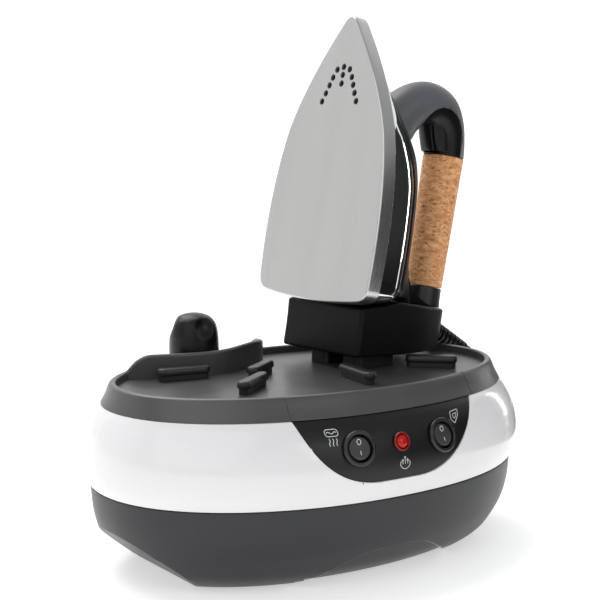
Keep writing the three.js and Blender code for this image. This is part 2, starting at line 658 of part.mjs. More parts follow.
addPart(iron, 'steam_chamber_cover', loft([
  outlineRing(0.66, 0.8, () => SOLE_THICKNESS + GAP),
  outlineRing(0.66, 0.8, () => CHAMBER_TOP - 0.8),
  outlineRing(0.64, 0.785, () => CHAMBER_TOP),
]), finish.steel());
const HEATER_X = CHAMBER_TOP + GAP + 3.6;
addPart(iron, 'sole_heater', rod([
  [HEATER_X, -24, 22], [HEATER_X, -25, 60], [HEATER_X, -20, 105], [HEATER_X, -8, 140], [HEATER_X, 0, 146],
  [HEATER_X, 8, 140], [HEATER_X, 20, 105], [HEATER_X, 25, 60], [HEATER_X, 24, 22],
], 3.6, 18, 8), finish.steel());
addPart(iron, 'sole_thermostat', join(
  alongX(post(9, CHAMBER_TOP + GAP, CHAMBER_TOP + 5.5, { sides: 16 }), 0, 0, 84),
  alongX(post(5, CHAMBER_TOP + 4.5, CHAMBER_TOP + 13.5, { sides: 12 }), 0, 0, 84),
), finish.brass());

// ---- iron: chrome skirt and platform ----
const skirtTopDepth = (z) => Math.max(
  SOLE_THICKNESS + 4,
  SKIRT_DEPTH - 30 * THREE.MathUtils.smoothstep(z, 78, 190),
);
const SKIRT_TOP = { y: 0.78, z: 0.93 };
addPart(iron, 'skirt', loft([
  outlineRing(0.985, 0.992, () => SOLE_THICKNESS + GAP),
  outlineRing(0.95, 0.985, (z) => SOLE_THICKNESS + 0.3 * (skirtTopDepth(z) - SOLE_THICKNESS)),
  outlineRing(0.88, 0.965, (z) => SOLE_THICKNESS + 0.72 * (skirtTopDepth(z) - SOLE_THICKNESS)),
  outlineRing(SKIRT_TOP.y + 0.02, SKIRT_TOP.z + 0.004, (z) => skirtTopDepth(z) - 1.6),
  outlineRing(SKIRT_TOP.y, SKIRT_TOP.z, skirtTopDepth),
  outlineRing(SKIRT_TOP.y - 0.07, SKIRT_TOP.z - 0.045, skirtTopDepth),
  outlineRing(SKIRT_TOP.y - 0.07, SKIRT_TOP.z - 0.045, (z) => skirtTopDepth(z) - 1.6),
  outlineRing(0.85, 0.95, (z) => SOLE_THICKNESS + 0.7 * (skirtTopDepth(z) - SOLE_THICKNESS)),
  outlineRing(0.95, 0.977, () => SOLE_THICKNESS + GAP),
], true), finish.chrome());

// Half the soleplate's width at a height up it.
function soleHalfWidthAt(z) {
  const side = soleOutline.filter(([y], i) => y >= 0 && i <= OUTLINE_POINTS / 2);
  for (let i = 1; i < side.length; i += 1) {
    const [[y0, z0], [y1, z1]] = [side[i - 1], side[i]];
    if (z >= z0 && z <= z1 && z1 > z0) return THREE.MathUtils.lerp(y0, y1, (z - z0) / (z1 - z0));
  }
  return 0;
}
const RIDGE = [
  // height, depth of the ridge, half its width
  [6, 80, 19], [20, 77, 18.5], [33, 74.2, 18], [51, 73.6, 18], [79, 72.6, 18], [90, 71.6, 18],
  [107, 67, 17.5], [120, 58.5, 17], [139, 45, 13], [152, 32.5, 10], [170, 20.5, 7], [182, 18, 3],
];
function ridgeAt(z) {
  const high = Math.max(1, RIDGE.findIndex((row) => row[0] >= z));
  const [low, top] = [RIDGE[high - 1], RIDGE[high]];
  const mix = (z - low[0]) / (top[0] - low[0]);
  return [1, 2].map((column) => THREE.MathUtils.lerp(low[column], top[column], mix));
}
function platformSection(z) {
  const scaled = OUTLINE_MIDDLE + (z - OUTLINE_MIDDLE) / SKIRT_TOP.z;
  const wide = Math.max(2.5, soleHalfWidthAt(scaled) * SKIRT_TOP.y - 0.4);
  const [depth, ridge] = ridgeAt(z);
  const narrow = Math.min(ridge, wide * 0.8);
  const low = skirtTopDepth(z) + GAP;
  const side = [
    [low, wide],
    [low + 0.1 * (depth - low), wide],
    [low + 0.42 * (depth - low), THREE.MathUtils.lerp(narrow, wide, 0.66)],
    [low + 0.72 * (depth - low), THREE.MathUtils.lerp(narrow, wide, 0.3)],
    [depth - 2.5, narrow + 1.2],
    [depth - 0.6, narrow - 1.2],
    [depth, narrow - 4],
  ];
  return [...side, ...side.map(([x, y]) => [x, -y]).reverse()].map(([x, y]) => [x, y, z]);
}
const PLATFORM_STATIONS = [6, 14, 24, 36, 51, 66, 80, 94, 107, 118, 128, 138, 148, 158, 168, 178];
const platformBody = loft(PLATFORM_STATIONS.map(platformSection));
const ferruleClear = post(CORK_RADIUS.bottom + GAP, -20, 60, { x: HANDLE_X, sides: 24 });
const flare = new THREE.Shape();
flare.moveTo(60, 40);
flare.lineTo(72.4, 34);
flare.bezierCurveTo(75, 20, 84, 9.5, 106, 6);
flare.lineTo(60, 6);
flare.lineTo(60, 40);
const platformCavity = loft([14, 36, 66, 94, 112].map((z) => {
  const [depth, ridge] = ridgeAt(z);
  const low = skirtTopDepth(z) - 3;
  return [
    [low, ridge + 10], [depth - 4, ridge - 4], [depth - 4, -ridge + 4], [low, -ridge - 10],
  ].map(([x, y]) => [x, y, z]);
}));
const DIAL = { height: 60, radius: 14, spindle: 3, sunk: 1, stand: 3.2 };
const INLET_X = 68; // where the steam pipe comes up into the platform
const dialPlace = ridgeAt(DIAL.height)[0];

// ---- iron: handle arch in two mouldings, outer and inner ----
const archLine = [
  // depth, height, radius in the plane of the arch, radius across it
  [HANDLE_X, CORK_TOP + GAP, 15, 15],
  [HANDLE_X - 1, 127, 14.6, 15],
  [104.7, 139, 15.2, 15],
  [97, 148, 16.3, 15.2],
  [84, 151, 16.4, 15.4],
  [70, 147, 16.2, 15.6],
  [59, 138, 17, 15.8],
  [52, 128, 18, 16],
  [46, 116, 18, 16],
];
const ARCH_SIDES = 16;
const archPath = new THREE.CatmullRomCurve3(archLine.map(([x, z]) => new THREE.Vector3(x, 0, z)));
const archRings = archLine.map(([, , inPlane, across], i) => {
  const at = i / (archLine.length - 1);
  const middle = archPath.getPoint(at);
  const ahead = i === 0 ? new THREE.Vector3(0, 0, 1) : archPath.getTangent(at);
  const outward = new THREE.Vector3(ahead.z, 0, -ahead.x);
  return Array.from({ length: ARCH_SIDES }, (_, j) => {
    const angle = (2 * Math.PI * j) / ARCH_SIDES;
    const away = inPlane * Math.cos(angle);
    return [middle.x + outward.x * away, across * Math.sin(angle), middle.z + outward.z * away];
  });
});
const archBody = loft(archRings);
const SPLIT = { x: 92, z: 130, radius: 19.5 };
const splitCylinder = (grow) => join(
  new THREE.CylinderGeometry(SPLIT.radius + grow, SPLIT.radius + grow, 60, 24).translate(SPLIT.x, 0, SPLIT.z),
  boxAt([2 * (SPLIT.radius + grow), 60, 40], [SPLIT.x, 0, SPLIT.z - 20]),
);
const platformClear = loft(PLATFORM_STATIONS.map(platformSection)).translate(GAP, 0, 0);
const triggerPocket = boxAt([30, 14, 26], [87, 0, 131]);
const MICROSWITCH = [7, 8, 12];
const switchPocket = boxAt(
  [MICROSWITCH[0] + 2 * GAP, MICROSWITCH[1] + 2 * GAP, MICROSWITCH[2] + 2 * GAP],
  [105.5, 0, 127],
);
const handleArch = biggest(cut(archBody, splitCylinder(GAP / 2), platformClear, triggerPocket, switchPocket));
// The insert swells towards the platform, on both sides of the trigger.
const SWELL = { low: 118.8, high: 142, front: 83, run: 9, middle: 100, halfWidth: 12 };
const swell = loft([0, 0.15, 0.32, 0.5, 0.66, 0.83, 1].map((share) => {
  const reach = SWELL.middle - SWELL.front - SWELL.run * (1 - share) ** 1.5;
  return Array.from({ length: 16 }, (_, i) => {
    const angle = (2 * Math.PI * i) / 16;
    return [
      SWELL.middle + reach * Math.cos(angle),
      SWELL.halfWidth * Math.sin(angle),
      THREE.MathUtils.lerp(SWELL.low, SWELL.high, share),
    ];
  });
}));
const handleInsert = biggest(cut(
  common(join(archBody, swell), splitCylinder(-GAP / 2)),
  platformClear,
  triggerPocket,
  switchPocket,
));

addPart(iron, 'platform', cut(
  join(platformBody, slabXZ(flare, 36, { curveSegments: 8 })),
  platformCavity,
  ferruleClear,
  alongX(post(DIAL.spindle + GAP, 0, 20, { sides: 12 }), dialPlace - 10, 0, DIAL.height),
  alongX(post(DIAL.radius + 0.5, 0, 20, { sides: 24 }), dialPlace - DIAL.sunk - GAP, 0, DIAL.height),
  post(3.6, 0, 20, { x: INLET_X, sides: 12 }),
), finish.black());
addPart(iron, 'handle_arch', handleArch, finish.grey());
addPart(iron, 'handle_arch_insert', handleInsert, finish.black());

const coreBore = (low, high) => post(7, low, high, { x: HANDLE_X, sides: 16 });
addPart(iron, 'cork_grip', cut(
  post(CORK_RADIUS.bottom, CORK_BOTTOM, CORK_TOP, { x: HANDLE_X, sides: 32, topRadius: CORK_RADIUS.top }),
  coreBore(0, 130),
), finish.cork());
addPart(iron, 'rear_ferrule', cut(
  post(CORK_RADIUS.bottom - 0.2, 7, CORK_BOTTOM - GAP, { x: HANDLE_X, sides: 28 }),
  coreBore(0, 60),
), finish.grey());
addPart(iron, 'handle_core', post(6.6, 7.4, CORK_TOP - GAP, { x: HANDLE_X, sides: 16 }), finish.steel());

// ---- iron: dial, trigger and its microswitch ----
addPart(iron, 'temperature_dial', join(
  alongX(post(DIAL.radius, 0, DIAL.sunk + DIAL.stand, { sides: 24 }), dialPlace - DIAL.sunk, 0, DIAL.height),
  alongX(post(DIAL.spindle, 0, 9, { sides: 12 }), dialPlace - 8, 0, DIAL.height),
), finish.black());
const TRIGGER_PIVOT = [84, 141];
const lever = new THREE.Shape();
lever.moveTo(TRIGGER_PIVOT[0] - 3, TRIGGER_PIVOT[1] + 1);
lever.lineTo(TRIGGER_PIVOT[0] + 4, TRIGGER_PIVOT[1] + 1);
lever.quadraticCurveTo(91, 131, 95, 119.4);
lever.lineTo(91, 118.6);
lever.quadraticCurveTo(86, 124, TRIGGER_PIVOT[0] - 3, TRIGGER_PIVOT[1] + 1);
addPart(iron, 'steam_trigger', slabXZ(lever, 13, { curveSegments: 6 }), finish.grey());
addPart(iron, 'trigger_microswitch', boxAt(MICROSWITCH, [105.5, 0, 127]), finish.black());

// ---- iron: heel ----
const heelSide = new THREE.Shape();
heelSide.moveTo(15, -2.6);
heelSide.lineTo(16.5, -36.4);
heelSide.lineTo(70, -29);
heelSide.lineTo(104, -23.5);
heelSide.quadraticCurveTo(123, -20, 124.5, -6);
heelSide.lineTo(125, 6.2);
heelSide.lineTo(106, 4.8);
heelSide.lineTo(58, 4.2);
heelSide.lineTo(42, 2.4);
heelSide.lineTo(33, -0.1);
heelSide.lineTo(15, -2.6);
function heelPlan(grow) {
  const half = HEEL_HALF_WIDTH + grow;
  const shape = new THREE.Shape();
  shape.moveTo(14 - grow, half - 3);
  shape.lineTo(14 - grow, -half + 3);
  shape.quadraticCurveTo(14 - grow, -half, 17 - grow, -half);
  shape.lineTo(50, -half);
  shape.absellipse(50, 0, 73 + grow, half, -Math.PI / 2, Math.PI / 2);
  shape.lineTo(17 - grow, half);
  shape.quadraticCurveTo(14 - grow, half, 14 - grow, half - 3);
  return shape;
}
const heelSolid = (grow) => common(
  slabXZ(heelSide, 120, { curveSegments: 5 }),
  slabXY(heelPlan(grow), -60, 90, { curveSegments: 14 }),
);
const heelOutside = heelSolid(0);
const heelInside = common(
  slabXZ(heelSide, 120, { curveSegments: 5 }).translate(0, 0, 2.6),
  slabXZ(heelSide, 120, { curveSegments: 5 }).translate(0, 0, -2.6),
  slabXY(heelPlan(-2.6), -60, 90, { curveSegments: 14 }),
);
const CABLE_WAY = { x: 70, radius: 7 };
addPart(iron, 'heel_block', cut(
  heelOutside,
  heelInside,
  post(CABLE_WAY.radius, -20, 20, { x: CABLE_WAY.x, sides: 16 }),
), finish.black());
addPart(iron, 'iron_terminal_block', boxAt([18, 30, 9], [48, 0, -20]), finish.white());
addPart(iron, 'steam_inlet_pipe', rod([
  [98, 0, -12], [82, 0, -13], [INLET_X + 3, 0, -7], [INLET_X, 0, 5], [INLET_X, 0, 18], [60, 0, 30],
  [44, 0, 34],
  [28, 0, 34], [CHAMBER_TOP + 2 * GAP, 0, 34],
], 3, 18), finish.steel());

const leaned = new THREE.Matrix4().makeRotationY(IRON_LEAN);
const heelUpright = heelOutside.clone().applyMatrix4(leaned);
const PLATE_BELOW_IRON = PLATE_TOP - IRON_PLACE.z;
const HEEL_FEET = [[36, -22], [36, 12]];
HEEL_FEET.forEach(([x, y], i) => {
  const foot = cut(
    slabXY(roundedRect(34, 18, 3), PLATE_BELOW_IRON + GAP, 20, { curveSegments: 3 }).translate(x, y, 0),
    join(heelUpright.clone().translate(0, 0, -GAP), heelUpright.clone().translate(0, 0, 8)),
    boxAt([80, 40, 40], [x, y, PLATE_BELOW_IRON + 32]),
  );
  addPart(ironTurned, `heel_foot_${i + 1}`, foot, finish.rubber());
});

// ---- steam hose: boot on the iron, drop, coil on the floor, return to the base ----
const UP = new THREE.Vector3(0, 0, 1);
const BOOT = {
  start: new THREE.Vector3(127, 29, 137),
  way: new THREE.Vector3(0.86, 0.05, -0.5).normalize(),
  length: 44,
};
const bootEnd = BOOT.start.clone().addScaledVector(BOOT.way, BOOT.length);
const bootProfile = [[0, 0]];
const BOOT_RIBS = 6;
bootProfile.push([7.4, 0]);
for (let rib = 0; rib < BOOT_RIBS; rib += 1) {
  const low = 9 + rib * 5.6;
  const radius = 7.2 - rib * 0.2;
  bootProfile.push([radius - 1, low], [radius, low + 1], [radius, low + 3.6]);
}
bootProfile.push([5.7, BOOT.length], [0, BOOT.length]);
const heelInPlace = heelSolid(0).applyMatrix4(leaned)
  .applyMatrix4(new THREE.Matrix4().makeRotationZ(IRON_TURN))
  .translate(IRON_PLACE.x, IRON_PLACE.y, IRON_PLACE.z);
const boot = turned(bootProfile, 12)
  .applyQuaternion(new THREE.Quaternion().setFromUnitVectors(UP, BOOT.way))
  .translate(BOOT.start.x, BOOT.start.y, BOOT.start.z);
const bootClear = heelInPlace.clone().applyMatrix4(new THREE.Matrix4().makeTranslation(
  BOOT.way.x * GAP, BOOT.way.y * GAP, BOOT.way.z * GAP,
));
addPart(baseGroup, 'hose_boot', cut(boot, bootClear, heelInPlace), finish.black());

const hoseRadius = HOSE_DIAMETER / 2;
const hose = (points, steps) => rod(points, hoseRadius, steps, 10);
const dropStart = bootEnd.clone().addScaledVector(BOOT.way, GAP);
const coilEntry = COIL_RADIUS + HOSE_DIAMETER + hoseRadius + 0.6;
const coilEdge = (degrees, radius, z) => {
  const angle = THREE.MathUtils.degToRad(degrees);
  return [COIL_CENTRE.x + radius * Math.cos(angle), COIL_CENTRE.y + radius * Math.sin(angle), z];
};
const alongBoot = (distance) => bootEnd.clone().addScaledVector(BOOT.way, distance).toArray();
const DROP_ROUTE = [
  alongBoot(GAP),
  alongBoot(6),
  [177.5, 32.5, 105.5],
  [183.5, 34, 93],
  [186, 37, 77],
  [186, 41.5, 60],
  [185.5, 48, 43],
  [184.5, 57, 27],
  [182, 70, 14],
  [178.5, 86, 7],
  [174.5, 103, 5.2],
  [170.5, 121, 5.2],
  [168, 139, 5.2],
  [167, 156, 5.2],
  coilEdge(0, coilEntry, 5.2),
];
addPart(baseGroup, 'steam_hose_drop', hose(DROP_ROUTE, 20), finish.hose());
const coilInside = COIL_RADIUS - HOSE_DIAMETER;
const coilOutside = COIL_RADIUS + HOSE_DIAMETER;
const coilTop = COIL_LAYERS * HOSE_DIAMETER;
addPart(baseGroup, 'steam_hose_coil', turned([
  [coilInside, 1.5], [coilInside + 1.5, 0], [coilOutside - 1.5, 0], [coilOutside, 1.5],
  [coilOutside, coilTop - 1.5], [coilOutside - 1.5, coilTop], [coilInside + 1.5, coilTop],
  [coilInside, coilTop - 1.5], [coilInside, 1.5],
], 24), finish.hose()).position.copy(COIL_CENTRE);
const RETURN_ROUTE = [
  coilEdge(166, coilEntry, 26),
  [24.8, 176, 29],
  [20.2, 163, 33.5],
  [15, 152, 37.8],
  [HOSE_GLAND_X + 0.1, 145, 39.9],
  [HOSE_GLAND_X, GLAND.tip + 2, GLAND.height],
  [HOSE_GLAND_X, GLAND.tip + GAP, GLAND.height],
];
addPart(baseGroup, 'steam_hose_return', hose(RETURN_ROUTE, 9), finish.hose());

export default new THREE.Group().add(baseGroup, ironTurned);
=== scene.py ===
# The looks of a steam ironing station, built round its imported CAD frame.
# Shapes are written in millimetres; mesh_piece turns them into metres.
import json
from math import copysign, cos, hypot, pi, radians, sin, sqrt

import bmesh
import bpy
from mathutils import Matrix, Vector

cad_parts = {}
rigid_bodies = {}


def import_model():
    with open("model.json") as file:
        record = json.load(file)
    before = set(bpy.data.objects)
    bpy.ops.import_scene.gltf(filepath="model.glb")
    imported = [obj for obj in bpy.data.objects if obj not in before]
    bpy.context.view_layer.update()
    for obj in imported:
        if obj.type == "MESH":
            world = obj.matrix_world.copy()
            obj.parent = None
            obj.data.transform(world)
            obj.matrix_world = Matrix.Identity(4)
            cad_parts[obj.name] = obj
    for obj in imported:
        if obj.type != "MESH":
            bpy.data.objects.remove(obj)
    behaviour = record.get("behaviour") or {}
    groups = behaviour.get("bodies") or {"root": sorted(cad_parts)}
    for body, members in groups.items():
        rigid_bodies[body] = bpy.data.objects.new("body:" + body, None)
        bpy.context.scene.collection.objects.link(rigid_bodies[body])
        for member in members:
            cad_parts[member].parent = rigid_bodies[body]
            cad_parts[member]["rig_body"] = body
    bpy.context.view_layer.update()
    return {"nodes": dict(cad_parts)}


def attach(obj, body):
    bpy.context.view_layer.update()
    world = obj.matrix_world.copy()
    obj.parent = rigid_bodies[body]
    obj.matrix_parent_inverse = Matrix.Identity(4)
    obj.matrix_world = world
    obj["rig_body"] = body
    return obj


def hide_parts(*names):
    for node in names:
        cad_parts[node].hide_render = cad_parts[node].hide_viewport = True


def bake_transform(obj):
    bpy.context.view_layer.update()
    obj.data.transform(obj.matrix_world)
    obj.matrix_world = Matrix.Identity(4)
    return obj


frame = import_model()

nodes = frame["nodes"]
scene = bpy.context.scene
MM = 0.001


def new_object(name, data):
    item = bpy.data.objects.new(name, data)
    scene.collection.objects.link(item)
    return item


def shift(x, y, z):
    return Matrix.Translation((x, y, z))


def spin(degrees, axis):
    return Matrix.Rotation(radians(degrees), 4, axis)


# ---- camera ----
camera = new_object("camera", bpy.data.cameras.new("camera"))
camera.location = (-0.540, -0.761, 0.293)
camera.rotation_euler = (radians(82.4), 0, radians(-35))
camera.data.sensor_width = 36
camera.data.lens = 84
scene.camera = camera
scene.view_settings.view_transform = "Standard"

# ---- the driving dimensions that the CAD model uses too ----
GAP = 0.3
OVAL_POWER = 2.1
WALL = 2.6
PANEL_HALF_WIDTH = 72
PANEL_BOTTOM = 70
PANEL_CENTRE_X = -3.5
LAMP_X = -4.8
SWITCH_HEIGHT = 91.8
SWITCH_XS = (-36, 29)
BAND_TOP = 109.4
RIM_TOP = 123
PLATE_TOP = 118
PLATE_EDGE = (138.2, 82.1)
CAP_X, CAP_Y = -55.5, 57.8
END_SLOPE_START, END_SLOPE_RUN = 110, 42 / 34
FRONT_ARCH = [
    (0, 23.5), (10, 23.2), (20, 21.8), (28, 19.6), (36, 16), (42, 12.8), (48, 9.2), (54, 5.8),
    (60, 3), (66, 1.1),
]
HOUSING_OUTSIDE = [
    (126, 72.5, 1.2), (132, 80, 4), (139.3, 88, 10), (145, 93.5, 18), (150, 99, 28),
    (153.3, 102.8, 40), (155, 104.7, 57.2),
]
BAND_OUTSIDE = [
    (155, 104.7, 57.5), (158.2, 107.8, 64), (159.5, 109, 74), (158.8, 108.2, 84),
    (155.8, 104.6, 96), (151.5, 99, 105), (148.1, 94.8, BAND_TOP),
]
IRON_PLACE = Vector((14, 19.6, 167.8))
IRON_MATRIX = Matrix.Translation(IRON_PLACE * MM) @ spin(5, "Z") @ spin(11.4, "Y")
SOLE_LENGTH = 196
SOLE_HALF_WIDTH = 58
SOLE_THICKNESS = 11.5
SKIRT_DEPTH = 41
HANDLE_X = 109.5
CORK_BOTTOM, CORK_TOP = 20.6, 117
CORK_RADII = (13.4, 15)
HEEL_HALF_WIDTH = 39.5


# ---- curves and solids ----
def spline(points, steps):
    """A centripetal Catmull-Rom line through points, as the CAD model draws its routes."""
    points = [Vector(p) for p in points]
    run = [2 * points[0] - points[1], *points, 2 * points[-1] - points[-2]]
    line = []
    for p0, p1, p2, p3 in zip(run, run[1:], run[2:], run[3:]):
        d0, d1, d2 = (max((b - a).length, 1e-4) ** 0.5
                      for a, b in ((p0, p1), (p1, p2), (p2, p3)))
        start = ((p1 - p0) / d0 - (p2 - p0) / (d0 + d1) + (p2 - p1) / d1) * d1
        end = ((p2 - p1) / d1 - (p3 - p1) / (d1 + d2) + (p3 - p2) / d2) * d1
        for i in range(steps):
            t = i / steps
            line.append(
                p1 * (2 * t**3 - 3 * t**2 + 1) + start * (t**3 - 2 * t**2 + t)
                + p2 * (3 * t**2 - 2 * t**3) + end * (t**3 - t**2)
            )
    return [*line, points[-1]]


def smoothstep(x, low, high):
    t = min(1, max(0, (x - low) / (high - low)))
    return t * t * (3 - 2 * t)


def mix(a, b, t):
    return a + (b - a) * t


def ahead_at(line, i):
    """From the point before one on a line to the point after it."""
    return line[min(i + 1, len(line) - 1)] - line[max(i - 1, 0)]


def circle_angles(count):
    """Equal steps round a full turn."""
    return [2 * pi * k / count for k in range(count)]


def bezier(start, handles, steps):
    """Points along cubic curves; handles is a list of (handle, handle, end)."""
    line, here = [], Vector(start)
    for a, b, end in handles:
        a, b, end = Vector(a), Vector(b), Vector(end)
        for i in range(steps):
            t = i / steps
            line.append(here * (1 - t) ** 3 + a * 3 * t * (1 - t) ** 2
                        + b * 3 * t**2 * (1 - t) + end * t**3)
        here = end
    return [*line, here]


def loft(rings, closed=False):
    """A solid through rings of equal counts; closed joins the last ring to the first."""
    count = len(rings[0])
    verts = [tuple(point) for ring in rings for point in ring]
    faces = []
    for low in range(len(rings) if closed else len(rings) - 1):
        high = (low + 1) % len(rings)
        for i in range(count):
            j = (i + 1) % count
            faces.append((low * count + i, low * count + j, high * count + j, high * count + i))
    if not closed:
        faces.append(tuple(range(count)))
        faces.append(tuple(range((len(rings) - 1) * count, len(rings) * count)))
    return verts, faces


def oval_ring(a, b, z, sides=144):
    ring = []
    for angle in circle_angles(sides):
        c, s = cos(angle), sin(angle)
        stretch = (abs(c) ** OVAL_POWER + abs(s) ** OVAL_POWER) ** (-1 / OVAL_POWER)
        ring.append((a * c * stretch, b * s * stretch, z))
    return ring


def ovals(profile, closed=False):
    return loft([oval_ring(*row) for row in profile], closed)


def inset(profile, distance):
    return [(a - distance, b - distance, z) for a, b, z in profile]


def lathe(profile, sides=64):
    """A body turned about Z from (radius, height) points; radius 0 ends it in a point."""
    verts, faces, rows = [], [], []
    for radius, height in profile:
        if radius == 0:
            rows.append([len(verts)] * sides)
            verts.append((0, 0, height))
        else:
            rows.append([len(verts) + i for i in range(sides)])
            verts += [(radius * cos(a), radius * sin(a), height)
                      for a in circle_angles(sides)]
    closed = profile[0] != profile[-1] and profile[0][0] > 0 and profile[-1][0] > 0
    pairs = list(zip(rows, rows[1:])) + ([(rows[-1], rows[0])] if closed else [])
    for low, high in pairs:
        for i in range(sides):
            j = (i + 1) % sides
            face = [low[i], low[j], high[j], high[i]]
            face = [v for k, v in enumerate(face) if v not in face[:k]]
            if len(face) > 2:
                faces.append(tuple(face))
    return verts, faces


def rod(radius, low, high, sides=64):
    return lathe([(0, low), (radius, low), (radius, high), (0, high)], sides)


def rounded(corners, radius, steps=5):
    """A closed (x, y) outline with its corners rounded; radius is one for all or one each."""
    outline, count = [], len(corners)
    radii = radius if isinstance(radius, (list, tuple)) else [radius] * count
    for i, corner in enumerate(corners):
        here = Vector(corner)
        back = Vector(corners[i - 1]) - here
        ahead = Vector(corners[(i + 1) % count]) - here
        reach = min(radii[i], back.length / 2, ahead.length / 2)
        start, end = here + back.normalized() * reach, here + ahead.normalized() * reach
        for k in range(steps + 1):
            t = k / steps
            outline.append(start * (1 - t) ** 2 + here * 2 * t * (1 - t) + end * t**2)
    return outline


def prism(outline, low, high, place):
    """An outline given thickness; place turns (u, v, w) into a point."""
    return loft([[place(p[0], p[1], w) for p in outline] for w in (low, high)])


def moved(shape, matrix):
    verts, faces = shape
    return [tuple(matrix @ Vector(v)) for v in verts], faces


def mesh_piece(name, shape, matrix=None):
    verts, faces = shape
    mesh = bpy.data.meshes.new(name)
    mesh.from_pydata([tuple(c * MM for c in v) for v in verts], [], faces)
    shell = bmesh.new()
    shell.from_mesh(mesh)
    bmesh.ops.remove_doubles(shell, verts=shell.verts, dist=1e-7)
    bmesh.ops.recalc_face_normals(shell, faces=shell.faces)
    shell.to_mesh(mesh)
    shell.free()
    piece = new_object(name, mesh)
    if matrix is not None:
        piece.matrix_world = matrix
    return piece


def apply_modifiers(piece):
    bpy.context.view_layer.update()
    graph = bpy.context.evaluated_depsgraph_get()
    piece_mesh = bpy.data.meshes.new_from_object(piece.evaluated_get(graph))
    piece.modifiers.clear()
    piece.data = piece_mesh


def cut(piece, tool, operation="DIFFERENCE"):
    """Cuts one piece from another, or joins or crosses them, and removes the first."""
    modifier = piece.modifiers.new("carve", "BOOLEAN")
    modifier.operation = operation
    modifier.solver = "EXACT"
    modifier.object = tool
    apply_modifiers(piece)
    bpy.data.objects.remove(tool)


def carve(piece, *shapes, operation="DIFFERENCE"):
    for shape in shapes:
        cut(piece, mesh_piece("tool", shape, piece.matrix_world.copy()), operation)


def round_edges(piece, width, segments=2, angle=32, weld=0.0):
    """Rounds the sharp edges; weld first closes gaps in mm between points that a cut left."""
    if weld:
        work = bmesh.new()
        work.from_mesh(piece.data)
        bmesh.ops.remove_doubles(work, verts=work.verts, dist=weld * MM)
        bmesh.ops.dissolve_degenerate(work, edges=work.edges, dist=weld * MM / 4)
        work.to_mesh(piece.data)
        work.free()
    modifier = piece.modifiers.new("round", "BEVEL")
    modifier.width = width * MM
    modifier.segments = segments
    modifier.limit_method = "ANGLE"
    modifier.angle_limit = radians(angle)
    modifier.use_clamp_overlap = False
    apply_modifiers(piece)


def give_finish(piece, finish):
    piece.data.materials.clear()
    piece.data.materials.append(FINISH[finish])


def settle(piece, body, finish, replaces=(), angle=40, second=None, is_second=None):
    """Shades a finished piece, gives it its finish and sets it on its body.

    Faces for which is_second is true get the second finish."""
    give_finish(piece, finish)
    if second:
        piece.data.materials.append(FINISH[second])
        for face in piece.data.polygons:
            face.material_index = int(is_second(face))
    piece.data.shade_smooth()
    piece.data.set_sharp_from_angle(angle=radians(angle))
    modifier = piece.modifiers.new("normals", "WEIGHTED_NORMAL")
    modifier.keep_sharp = True
    apply_modifiers(piece)
    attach(piece, body)
    if replaces:
        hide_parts(*replaces)


# ---- materials ----
COAT_ROUGHNESS = 0.05


def new_material(name):
    """A material, its shader, and makers of nodes whose values are numbers or sockets."""
    material = bpy.data.materials.new(name)
    material.use_nodes = True
    tree = material.node_tree

    def fill(node, values):
        for key, value in values.items():
            if isinstance(value, bpy.types.NodeSocket):
                tree.links.new(value, node.inputs[key])
            else:
                node.inputs[key].default_value = value
        return node

    def add(kind, values, operation=None):
        node = tree.nodes.new("ShaderNode" + kind)
        if operation:
            node.operation = operation
        return fill(node, values)

    return material, tree.nodes["Principled BSDF"], fill, add


def surface(name, colour, roughness, grain, bump, specular=0.5, metallic=0.0, spread=0.06,
            tint=0.12, stretch=(1, 1, 1), coat=0.0):
    """A finish with uneven colour and roughness and a fine grain. Grain is in waves a metre."""
    material, shader, fill, add = new_material(name)
    where = add("TexCoord", {}).outputs["Object"]
    scaled = add("Mapping", {"Vector": where, "Scale": stretch}).outputs[0]
    broad = add("TexNoise", {"Vector": scaled, "Scale": 45, "Detail": 4}).outputs["Fac"]
    fine = add("TexNoise", {"Vector": scaled, "Scale": grain, "Detail": 3}).outputs["Fac"]
    half = add("Math", {0: fine, 1: 0.5}, "MULTIPLY").outputs[0]
    both = add("Math", {0: broad, 1: 0.5, 2: half}, "MULTIPLY_ADD").outputs[0]
    shades = add("ValToRGB", {"Fac": both})
    for element, position, share in zip(shades.color_ramp.elements, (0.3, 0.7),
                                        (1 - tint, 1 + tint)):
        element.position = position
        element.color = (*[min(1, c * share) for c in colour], 1)
    rough = add("MapRange", {"Value": both, "From Min": 0.3, "From Max": 0.7,
                             "To Min": max(0.02, roughness - spread),
                             "To Max": roughness + spread})
    relief = add("Bump", {"Height": fine, "Strength": bump, "Distance": 0.0004})
    fill(shader, {"Base Color": shades.outputs["Color"], "Roughness": rough.outputs[0],
                  "Normal": relief.outputs[0], "Metallic": metallic, "Coat Weight": coat,
                  "Coat Roughness": COAT_ROUGHNESS, "Specular IOR Level": specular})
    return material


